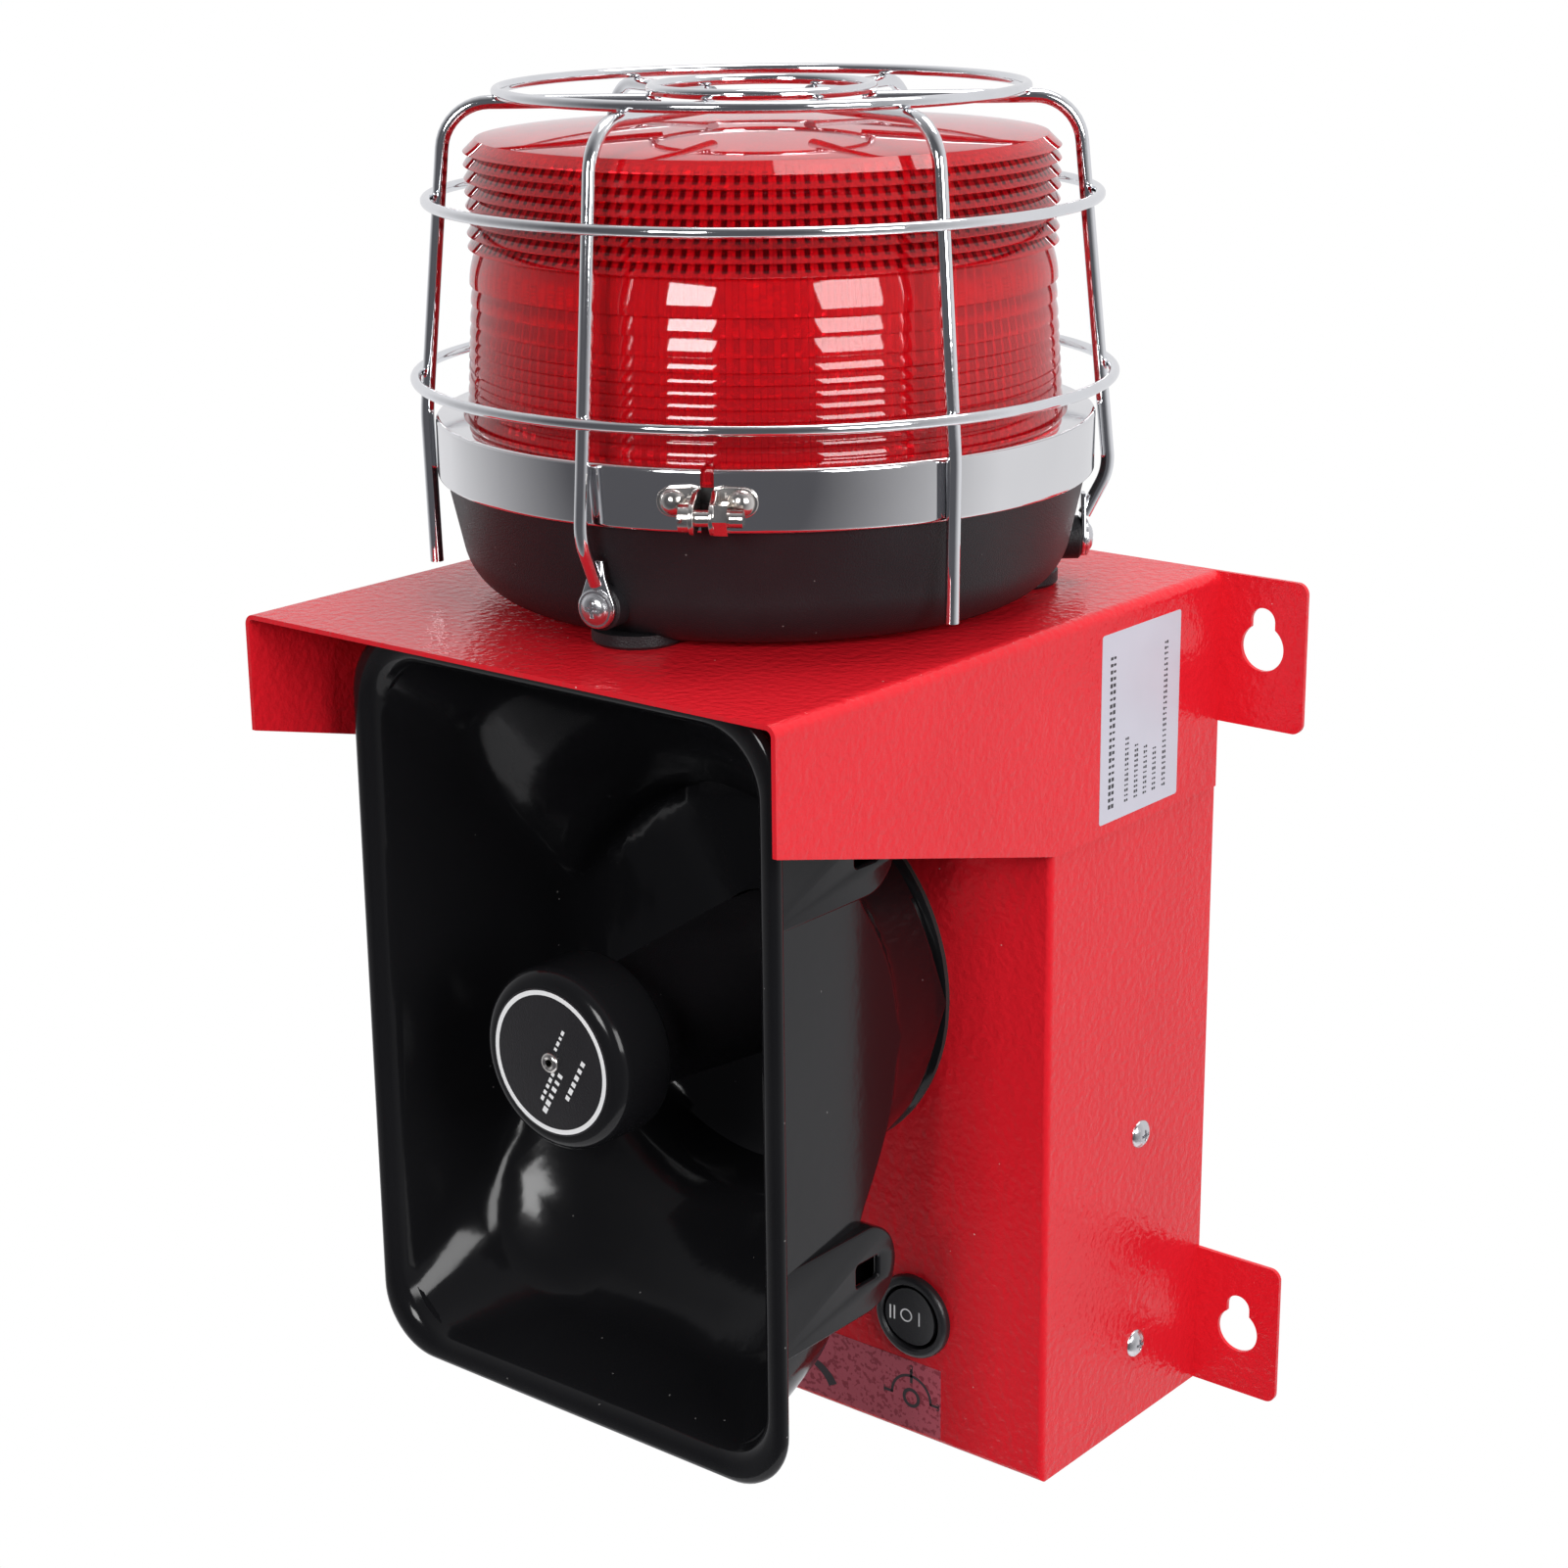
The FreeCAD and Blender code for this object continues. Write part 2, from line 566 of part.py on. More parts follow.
def make_tone_tube():
    rear = FRONT_IN - 3.0
    front = CAP_FORWARD - 13
    inside = CAP_FORWARD - CAP_WALL
    horn_tube = turned((TONE_TUBE_BORE, rear), [(THROAT_FLANGE_RADIUS, rear),
                                                (THROAT_FLANGE_RADIUS, FRONT_IN),
                                                (TONE_TUBE_REAR, FRONT_IN), (TONE_TUBE_REAR,
                                                                             BOX_DEPTH + 14),
                                                (TONE_TUBE_FRONT, front), (TONE_TUBE_FRONT - 2, front)])
    hub = tube(4.2, RIVET_RADIUS + 0.05, (0, 0, front - 3), (0, 0, inside))
    arms = []
    for k in range(3):
        arm = block(3.6, TONE_TUBE_FRONT - 1, -1, 1, front - 3, front)
        arm.rotate(V(0, 0, 0), V(0, 0, 1), 120 * k + 90)
        arms.append(arm)
    save("tone_tube", on_horn(fused([horn_tube, hub] + arms)))


def make_horn_cap():
    face = CAP_FORWARD
    rear = face - CAP_DEPTH
    r = CAP_RADIUS
    cap = turned((RIVET_RADIUS + 0.05, face), [(r - 2.6, face), ((r - 0.75, face - 0.8), (r, face - 2.8)),
                                               (r + 0.3, rear + 1.5), ((r + 0.1, rear + 0.4),
                                                                       (r - 1, rear)),
                                               (r - CAP_WALL + 0.3, rear), (r - CAP_WALL,
                                                                            face - CAP_WALL),
                                               (RIVET_RADIUS + 0.05, face - CAP_WALL)])
    save("horn_cap", on_horn(cap))
    disc = tube(CAP_DISC_RADIUS, RIVET_RADIUS + 0.05, (0, 0, face), (0, 0, face + CAP_DISC_THICKNESS))
    save("cap_disc", on_horn(disc))
    seat = face + CAP_DISC_THICKNESS
    rivet = turned((1.0, seat - 14), [(RIVET_RADIUS, seat - 14), (RIVET_RADIUS, seat), (2.7, seat),
                                      ((2.3, seat + 0.7), (1.6, seat + 0.9)), (1.0, seat + 0.6)])
    save("cap_rivet", on_horn(rivet))


def make_horn_bolts():
    seat = BOX_DEPTH + GASKET_THICKNESS + BELL_FLANGE
    tip = FRONT_IN - 9.0
    bolts = []
    for head, end in zip(horn_bolt_points(seat), horn_bolt_points(tip)):
        top = (head[0], head[1], seat + BOLT_HEAD_HEIGHT)
        bolts.append(on_horn(fused([hex_bar(BOLT_HEAD_FLATS, head, top),
                                    rod(HORN_BOLT_RADIUS, end, head)])))
    save("horn_bolts", bolts)


# ---------------------------------------------------------------- driver
def make_driver():
    front = FRONT_IN
    back = front - DRIVER_DEPTH
    wall = 9.5
    inside = DRIVER_RADIUS - DRIVER_WALL
    ledge = front - wall
    cover = tube(DRIVER_RADIUS, TONE_TUBE_BORE, (0, 0, back), (0, 0, front))
    ears = [rod(6.0, a, b) for a, b in zip(horn_bolt_points(ledge), horn_bolt_points(front))]
    cover = cover.multiFuse(ears)
    cover = cover.cut(rod(THROAT_FLANGE_RADIUS + 0.1, (0, 0, front - 3), (0, 0, front)))
    cover = cover.cut(rod(inside, (0, 0, back), (0, 0, ledge)))
    cover = cover.cut(rod(COIL_RADIUS + 11, (0, 0, ledge), (0, 0, front - 5)))
    save("driver_cover", on_horn(drilled(cover, HORN_BOLT_RADIUS + 0.05, ledge, front)))

    edge = 0.4
    rim = 4.0
    plate_front = ledge - edge - rim
    coil_outer = COIL_RADIUS + COIL_WALL
    hole = coil_outer + COIL_GAP
    top_plate = tube(inside - 0.1, hole, (0, 0, plate_front - IRON_THICKNESS), (0, 0, plate_front))
    spacer = tube(inside - 0.1, COIL_RADIUS + 11, (0, 0, plate_front), (0, 0, plate_front + rim))
    save("driver_top_plate", on_horn(fused([top_plate, spacer])))

    magnet_front = plate_front - IRON_THICKNESS
    magnet_back = magnet_front - MAGNET_THICKNESS
    save("driver_magnet", on_horn(tube(MAGNET_RADIUS, hole + 3, (0, 0, magnet_back),
                                       (0, 0, magnet_front))))
    yoke = rod(inside - 0.1, (0, 0, magnet_back - IRON_THICKNESS), (0, 0, magnet_back))
    pole = rod(POLE_RADIUS, (0, 0, magnet_back), (0, 0, plate_front))
    save("driver_yoke", on_horn(fused([yoke, pole])))

    base = plate_front + rim
    top = base + edge
    r = COIL_RADIUS
    bulge = 4.0
    dome = turned((0, base + bulge), [(dome_arc(r, bulge, base + bulge), (r, base)), (inside - 0.1, base),
                                      (inside - 0.1, top), (r, top), (dome_arc(r, bulge, top + bulge),
                                                                      (0, top + bulge))])
    save("diaphragm", on_horn(dome))
    save("voice_coil", on_horn(tube(coil_outer, COIL_RADIUS, (0, 0, plate_front - IRON_THICKNESS - 1),
                                    (0, 0, base))))


# ---------------------------------------------------------------- switch and controls
def at_switch(shape):
    """Local +Z becomes forward of the front face, at the switch."""
    shape.Placement = FreeCAD.Placement(V(SWITCH_X, -BOX_DEPTH, SWITCH_Z),
                                        FreeCAD.Rotation(V(1, 0, 0), 90))
    return shape


def make_switch():
    pin_depth = -3.0
    inner_back = -SWITCH_DEPTH + 1.6
    housing = turned((SWITCH_OPENING, inner_back), [(SWITCH_OPENING, BEZEL_THICKNESS - 0.6),
                                                    (SWITCH_OPENING + 0.5, BEZEL_THICKNESS),
                                                    (BEZEL_RADIUS - 1.4, BEZEL_THICKNESS),
                                                    ((BEZEL_RADIUS - 0.4, BEZEL_THICKNESS - 0.4),
                                                     (BEZEL_RADIUS, BEZEL_THICKNESS - 1.4)),
                                                    (BEZEL_RADIUS, 0), (SWITCH_BODY_RADIUS, 0),
                                                    (SWITCH_BODY_RADIUS, -SWITCH_DEPTH), (0,
                                                                                          -SWITCH_DEPTH),
                                                    (0, inner_back)])
    bore = rod(ROCKER_PIN_RADIUS + RUNNING_CLEARANCE, (0, -SWITCH_BODY_RADIUS - 1, pin_depth),
               (0, SWITCH_BODY_RADIUS + 1, pin_depth))
    blades = [block(x - 0.4, x + 0.4, -2.4, 2.4, -SWITCH_DEPTH - 8, inner_back + 0.6)
              for x in (-5.0, 0.0, 5.0)]
    housing = housing.cut(bore).cut(Part.makeCompound(blades))
    save("switch_housing", at_switch(housing))
    save("switch_terminals", [at_switch(blade) for blade in blades])

    reach = 2.6 - pin_depth
    valley = 1.4 - pin_depth
    button = rod(ROCKER_RADIUS, (0, 0, pin_depth - 3), (0, 0, pin_depth + reach))
    face = Part.Face(outline((-ROCKER_RADIUS - 1, pin_depth + reach + 1),
                             [(-ROCKER_RADIUS - 1, pin_depth + reach),
                              ((0, pin_depth + valley), (ROCKER_RADIUS + 1, pin_depth + reach)),
                              (ROCKER_RADIUS + 1, pin_depth + reach + 1)], lambda a, b: V(a, -20, b)))
    button = button.cut(face.extrude(V(0, 40, 0)))
    relief = block(-ROCKER_RADIUS, ROCKER_RADIUS, -ROCKER_RADIUS, ROCKER_RADIUS, pin_depth - 3,
                   pin_depth - 1)
    heel = rod(4.0, (0, -ROCKER_RADIUS + 1.5, pin_depth - 1), (0, ROCKER_RADIUS - 1.5, pin_depth - 1))
    button = button.cut(relief.cut(heel))
    pins = rod(ROCKER_PIN_RADIUS, (0, -SWITCH_BODY_RADIUS + 0.2, pin_depth),
               (0, SWITCH_BODY_RADIUS - 0.2, pin_depth))
    save("switch_rocker", at_switch(fused([button, pins])))


def make_control(name, x):
    """A panel control under the box: body inside, threaded bush through the sheet, slotted shaft."""
    y = -CONTROL_SETBACK

    def at(z):
        return (x, y, BOTTOM + z)
    top = SHEET + CONTROL_BODY_HEIGHT
    body = rod(CONTROL_BODY_RADIUS, at(SHEET), at(top)).fuse(rod(CONTROL_BUSH_RADIUS, at(-3.4),
                                                                 at(SHEET)))
    body = body.cut(rod(CONTROL_SHAFT_RADIUS + RUNNING_CLEARANCE, at(-3.4), at(top - 3)))
    tags = [block(x + k * 4 - 0.9, x + k * 4 + 0.9, y + CONTROL_BODY_RADIUS - 1.5,
                  y + CONTROL_BODY_RADIUS - 0.9,
                  BOTTOM + top - 2, BOTTOM + top + 4) for k in (-1, 0, 1)]
    save(name + "_body", fused([body] + tags))
    shaft = rod(CONTROL_SHAFT_RADIUS, at(-6), at(top - 3.2))
    slot = block(x - CONTROL_SHAFT_RADIUS, x + CONTROL_SHAFT_RADIUS, y - 0.5, y + 0.5, BOTTOM - 6,
                 BOTTOM - 4.6)
    save(name + "_shaft", shaft.cut(slot))
    return hex_bar(11, at(-2), at(0)).cut(rod(CONTROL_BUSH_RADIUS + 0.05, at(-2), at(0)))


# ---------------------------------------------------------------- electronics
def make_electronics():
    low = TRAY_LOW + BOARD_MARGIN
    high = TRAY_HIGH - BOARD_MARGIN
    tray_front = TRAY_STANDOFF + SHEET
    board_back = tray_front + BOARD_STANDOFF
    face = -BOARD_FACE
    board = block(BOARD_X[0], BOARD_X[1], face, -board_back, low, high)
    board = board.cut(Part.makeCompound([rod(BOARD_HOLE_RADIUS, (x, face, z), (x, -board_back, z)) for x,
                                         z in board_corners()]))
    save("amp_board", board)
    save("board_standoffs", [tube(3.0, BOARD_HOLE_RADIUS, (x, -board_back, z), (x, -tray_front, z)) for x,
                             z in board_corners()])
    screws = [fused([rod(BOARD_SCREW_HEAD, (x, face - BOARD_SCREW_HEAD_HEIGHT, z), (x, face, z)),
                     rod(BOARD_SCREW_RADIUS, (x, face, z), (x, -TRAY_STANDOFF, z))])
              for x, z in board_corners()]
    floor = FOOT_GAP + BASE_FLOOR
    flange_top = floor + COLUMN_FLANGE
    for angle in COLUMN_SCREW_ANGLES:
        head = rod(BOARD_SCREW_HEAD, (COLUMN_SCREW_CIRCLE, 0, flange_top),
                   (COLUMN_SCREW_CIRCLE, 0, flange_top + BOARD_SCREW_HEAD_HEIGHT))
        shank = rod(BOARD_SCREW_RADIUS, (COLUMN_SCREW_CIRCLE, 0, floor - 2),
                    (COLUMN_SCREW_CIRCLE, 0, flange_top))
        screws.append(on_beacon(fused([head, shank]), angle))
    save("board_screws", screws)

    cx = BOARD_X[0] + TRANSFORMER_LEFT
    cz = (low + high) / 2
    leg = 7
    half_width = 21
    half_stack = 8
    front = face - TRANSFORMER_DEPTH
    core = block(cx - half_width, cx + half_width, front, face, cz - half_stack, cz + half_stack)
    windows = [block(cx + side * 10.5 - 3.5, cx + side * 10.5 + 3.5, front + leg, face - leg,
                     cz - half_stack,
                     cz + half_stack) for side in (-1, 1)]
    save("transformer_core", core.cut(Part.makeCompound(windows)))
    coil = block(cx - 13.8, cx + 13.8, front + leg + 0.4, face - leg - 0.4, cz - 13, cz + 13)
    coil = coil.cut(block(cx - leg, cx + leg, front + leg, face - leg, cz - half_stack, cz + half_stack))
    save("transformer_coil", coil)

    can_height = cz + 18 * BAY_SCALE
    cans = [rod(CAN_RADIUS, (x, face, can_height), (x, face - CAN_LENGTH, can_height))
            for x in (2, 15, 28)]
    save("capacitors", cans)
    sink_low = cz - 26 * BAY_SCALE
    sink_front = face - SINK_DEPTH
    fin_step = 6.5 * BAY_SCALE
    sink = [block(0, 3, sink_front, face, sink_low, cz + 8 * BAY_SCALE)]
    fin = FIN_THICKNESS * BAY_SCALE
    sink += [block(3, 12, sink_front, face, sink_low + fin_step * k, sink_low + fin_step * k + fin)
             for k in range(6)]
    save("heat_sink", fused(sink))
    front = face - TERMINAL_DEPTH
    terminal = block(12, 40, front, face, low + 3, low + 12)
    ports = [rod(1.8, (16 + 5 * k, front, low + 7.5), (16 + 5 * k, face - 6, low + 7.5))
             for k in range(5)]
    save("terminal_block", terminal.cut(Part.makeCompound(ports)))


# ---------------------------------------------------------------- beacon
def base_wall_radius(height):
    """Outside radius of the base's drafted wall, at a height above the hood."""
    return BASE_NECK_RADIUS - (BASE_FLANGE_BOTTOM - height) * math.tan(math.radians(BASE_DRAFT))


def make_beacon_base():
    draft = math.radians(BASE_DRAFT)
    foot = FOOT_GAP
    centre = foot + BASE_CORNER
    turn_height = centre - BASE_CORNER * math.sin(draft)
    turn_radius = base_wall_radius(turn_height)
    cx = turn_radius - BASE_CORNER * math.cos(draft)
    mid = math.radians(-45 - BASE_DRAFT / 2)
    inner_r = BASE_CORNER - BASE_WALL
    floor = foot + BASE_FLOOR
    outer_mid = (cx + BASE_CORNER * math.cos(mid), centre + BASE_CORNER * math.sin(mid))
    inner_mid = (cx + inner_r * math.cos(mid), centre + inner_r * math.sin(mid))
    inner_turn = (cx + inner_r * math.cos(draft), centre - inner_r * math.sin(draft))
    neck_in = BASE_NECK_RADIUS - BASE_WALL
    body = turned((0, foot), [(cx, foot), (outer_mid, (turn_radius, turn_height)),
                              (BASE_NECK_RADIUS, BASE_FLANGE_BOTTOM), (FLANGE_RADIUS, BASE_FLANGE_BOTTOM),
                              (FLANGE_RADIUS, BASE_FLANGE_TOP), (neck_in - 2, BASE_FLANGE_TOP),
                              (neck_in - 2, BASE_FLANGE_BOTTOM), inner_turn,
                              (inner_mid, (cx, centre - inner_r)), (cx - 1, floor), (0, floor)])
    bosses = []
    pilots = []
    for k in range(0, RIB_COUNT, 2):
        angle = RIB_FIRST_ANGLE + k * RIB_STEP
        foot_boss = rod(11.0, (turn_radius - 13.5, 0, 0), (turn_radius - 13.5, 0, foot + 2.5))
        spot = rod(5.5, (turn_radius - 1.5, 0, CAGE_SCREW_HEIGHT), (spade_inner(), 0, CAGE_SCREW_HEIGHT))
        pilot = rod(CAGE_SCREW_RADIUS + 0.05, (60, 0, CAGE_SCREW_HEIGHT),
                    (spade_inner(), 0, CAGE_SCREW_HEIGHT))
        for shape, group in ((foot_boss, bosses), (spot, bosses), (pilot, pilots)):
            shape.rotate(V(0, 0, 0), V(0, 0, 1), angle)
            group.append(shape)
    body = fused([body] + bosses)
    holes = list(pilots)
    holes.append(rod(CABLE_HOLE_RADIUS, (0, BEACON_SETBACK - CABLE_HOLE_SETBACK, 0),
                     (0, BEACON_SETBACK - CABLE_HOLE_SETBACK, floor)))
    for angle in BASE_BOLT_ANGLES:
        a = math.radians(angle)
        x, y = BASE_BOLT_CIRCLE * math.cos(a), BASE_BOLT_CIRCLE * math.sin(a)
        holes.append(rod(BASE_BOLT_RADIUS + 0.1, (x, y, 0), (x, y, floor)))
    for angle in COLUMN_SCREW_ANGLES:
        a = math.radians(angle)
        x, y = COLUMN_SCREW_CIRCLE * math.cos(a), COLUMN_SCREW_CIRCLE * math.sin(a)
        holes.append(rod(1.3, (x, y, foot), (x, y, floor)))
    save("beacon_base", on_beacon(body.cut(Part.makeCompound(holes))))


def spade_inner():
    """How far out the flattened rib ends sit on the base's screw bosses."""
    return base_wall_radius(CAGE_SCREW_HEIGHT) + 3.6


def make_base_fixings():
    gasket = tube(52.0, 26.0, (0, 0, 0), (0, 0, FOOT_GAP))
    bolts = []
    holes = [rod(CABLE_HOLE_RADIUS, (0, BEACON_SETBACK - CABLE_HOLE_SETBACK, 0),
                 (0, BEACON_SETBACK - CABLE_HOLE_SETBACK, FOOT_GAP))]
    floor = FOOT_GAP + BASE_FLOOR
    for angle in BASE_BOLT_ANGLES:
        a = math.radians(angle)
        x, y = BASE_BOLT_CIRCLE * math.cos(a), BASE_BOLT_CIRCLE * math.sin(a)
        holes.append(rod(BASE_BOLT_RADIUS + 0.1, (x, y, 0), (x, y, FOOT_GAP)))
        head = hex_bar(BOLT_HEAD_FLATS, (x, y, floor), (x, y, floor + BOLT_HEAD_HEIGHT))
        shank = rod(BASE_BOLT_RADIUS, (x, y, -SHEET - 6), (x, y, floor))
        nut_low = (x, y, -SHEET - 4)
        nut_high = (x, y, -SHEET)
        nut = hex_bar(BOLT_HEAD_FLATS, nut_low, nut_high).cut(rod(BASE_BOLT_RADIUS + 0.05, nut_low,
                                                                  nut_high))
        bolts += [on_beacon(fused([head, shank])), on_beacon(nut)]
    save("base_gasket", on_beacon(gasket.cut(Part.makeCompound(holes))))
    save("base_bolts", bolts)


def lens_flange_bottom():
    return BASE_FLANGE_TOP + SEAL_THICKNESS


def band_top():
    return lens_flange_bottom() + LENS_FLANGE + BAND_THICKNESS


def make_lens():
    low = lens_flange_bottom()
    high = low + LENS_FLANGE
    waist = (high + LENS_SHOULDER) / 2 + 2
    w = LENS_WALL
    rise = LENS_TOP - LENS_SHOULDER - LENS_CHAMFER
    crown = LENS_TOP_RADIUS - LENS_CHAMFER
    lens = turned((FLANGE_RADIUS - 0.1, low), [
        (FLANGE_RADIUS - 0.1, high), (LENS_FOOT_RADIUS, high), (LENS_WAIST_RADIUS + 0.4, waist),
        (LENS_WAIST_RADIUS, waist + 4), (LENS_TOP_RADIUS, LENS_SHOULDER), (crown,
                                                                           LENS_SHOULDER + LENS_CHAMFER),
        (dome_arc(crown, rise, LENS_TOP), (0, LENS_TOP)), (0, LENS_TOP - w),
        (dome_arc(crown, rise, LENS_TOP - w), (crown, LENS_TOP - w - rise)),
        (LENS_WAIST_RADIUS - w, waist + 4),
        (LENS_FOOT_RADIUS - w, low)])
    save("lens", on_beacon(lens))
    save("lens_seal", on_beacon(tube(FLANGE_RADIUS - 0.5, LENS_FOOT_RADIUS + 1, (0, 0, BASE_FLANGE_TOP),
                                     (0, 0, low))))


def gap_cutter(width):
    """A slab through the band at its gap."""
    return block(60, 100, -width / 2, width / 2, 20, 60)


def make_clamp_band():
    inner = FLANGE_RADIUS + BAND_CLEARANCE
    outer = inner + BAND_THICKNESS
    low = BASE_FLANGE_BOTTOM - BAND_THICKNESS
    high = band_top()
    band = turned((BASE_NECK_RADIUS + 0.3, low), [
        (outer, low), (outer, high), (LENS_FOOT_RADIUS + 0.4, high), (LENS_FOOT_RADIUS + 0.4,
                                                                      high - BAND_THICKNESS),
        (inner, high - BAND_THICKNESS), (inner, low + BAND_THICKNESS), (BASE_NECK_RADIUS + 0.3,
                                                                        low + BAND_THICKNESS)])
    band = band.cut(gap_cutter(BAND_GAP))
    middle = (low + high) / 2
    rivet_turn = math.degrees(BRACKET_RIVET / outer)
    rivets = []
    brackets = {}
    reach = outer + BRACKET_THICKNESS
    for name, side in (("right", 1), ("left", -1)):
        hole = rod(1.5, (inner - 1, 0, middle), (reach + 1, 0, middle))
        hole.rotate(V(0, 0, 0), V(0, 0, 1), side * rivet_turn)
        band = band.cut(hole)
        strap = tube(reach, outer, (0, 0, low), (0, 0, high))
        first, last = sorted((side * BAND_GAP / 2, side * (BRACKET_REACH - BRACKET_HEIGHT / 2)))
        plate = block(70, 100, first, last, middle - BRACKET_HEIGHT / 2, middle + BRACKET_HEIGHT / 2)
        end = side * (BRACKET_REACH - BRACKET_HEIGHT / 2)
        plate = plate.fuse(rod(BRACKET_HEIGHT / 2, (70, end, middle), (100, end, middle)))
        first, last = sorted((side * BAND_GAP / 2, side * (BAND_GAP / 2 + BRACKET_THICKNESS)))
        lug_centre = (reach + LUG_REACH - LUG_RADIUS, 0, middle - 2.6)
        lug = rod(LUG_RADIUS, (lug_centre[0], first, lug_centre[2]), (lug_centre[0], last, lug_centre[2]))
        root = block(outer, lug_centre[0], first, last, lug_centre[2] - LUG_RADIUS,
                     middle + BRACKET_HEIGHT / 2)
        bracket = fused([strap.common(plate), root, lug])
        screw_hole = rod(DRAW_SCREW_RADIUS + 0.2, (lug_centre[0], first - 1, lug_centre[2]),
                         (lug_centre[0], last + 1, lug_centre[2]))
        bracket = bracket.cut(hole).cut(screw_hole)
        brackets[name] = bracket
        dome = turned((0, reach - 0.1), [(RIVET_HEAD_RADIUS, reach - 0.1),
                                         (RIVET_HEAD_RADIUS, reach + 0.3),
                                         (dome_arc(RIVET_HEAD_RADIUS, 1.7, reach + 2.0),
                                          (0, reach + 2.0))])
        dome.rotate(V(0, 0, 0), V(0, 1, 0), 90)
        dome.translate(V(0, 0, middle))
        rivet = dome.fuse(rod(1.45, (inner, 0, middle), (reach, 0, middle)))
        rivet.rotate(V(0, 0, 0), V(0, 0, 1), side * rivet_turn)
        rivets.append(on_beacon(rivet.cut(bracket), BAND_GAP_ANGLE))
    save("clamp_band", on_beacon(band, BAND_GAP_ANGLE))
    for name, bracket in brackets.items():
        save("band_bracket_" + name, on_beacon(bracket, BAND_GAP_ANGLE))
    save("band_rivets", rivets)
    x, _, z = lug_centre
    face = BAND_GAP / 2 + BRACKET_THICKNESS
    head = rod(3.4, (x, -face - 2.6, z), (x, -face, z))
    shank = rod(DRAW_SCREW_RADIUS, (x, -face, z), (x, face + 6.5, z))
    slot = block(x - 3.4, x + 3.4, -face - 2.6, -face - 1.4, z - 0.45, z + 0.45)
    save("clamp_screw", on_beacon(fused([head, shank]).cut(slot), BAND_GAP_ANGLE))
    nut = hex_bar(7, (x, face, z), (x, face + 3.2, z)).cut(rod(DRAW_SCREW_RADIUS + 0.05, (x, face, z),
                                                               (x, face + 3.2, z)))
    save("clamp_nut", on_beacon(nut, BAND_GAP_ANGLE))


# ---------------------------------------------------------------- guard cage
def rounded_path(points, radii):
    """Straight runs in a radial plane, joined by tangent arcs."""
    points = [V(r, 0, z) for r, z in points]
    edges = []
    here = points[0]
    for i, radius in enumerate(radii):
        corner = points[i + 1]
        back = (points[i] - corner).normalize()
        ahead = (points[i + 2] - corner).normalize()
        half = back.getAngle(ahead) / 2
        reach = radius / math.tan(half)
        enter = corner + back * reach
        leave = corner + ahead * reach
        centre = corner + (back + ahead).normalize() * (radius / math.sin(half))
        middle = centre + (corner - centre).normalize() * radius
        edges.append(Part.LineSegment(here, enter).toShape())
        edges.append(Part.Arc(enter, middle, leave).toShape())
        here = leave
    edges.append(Part.LineSegment(here, points[-1]).toShape())
    return Part.Wire(edges)


def wire_rod(path, radius):
    start = path.Edges[0]
    direction = start.tangentAt(start.FirstParameter)
    circle = Part.Wire(Part.Circle(start.valueAt(start.FirstParameter), direction, radius).toShape())
    return path.makePipeShell([circle], True, False)


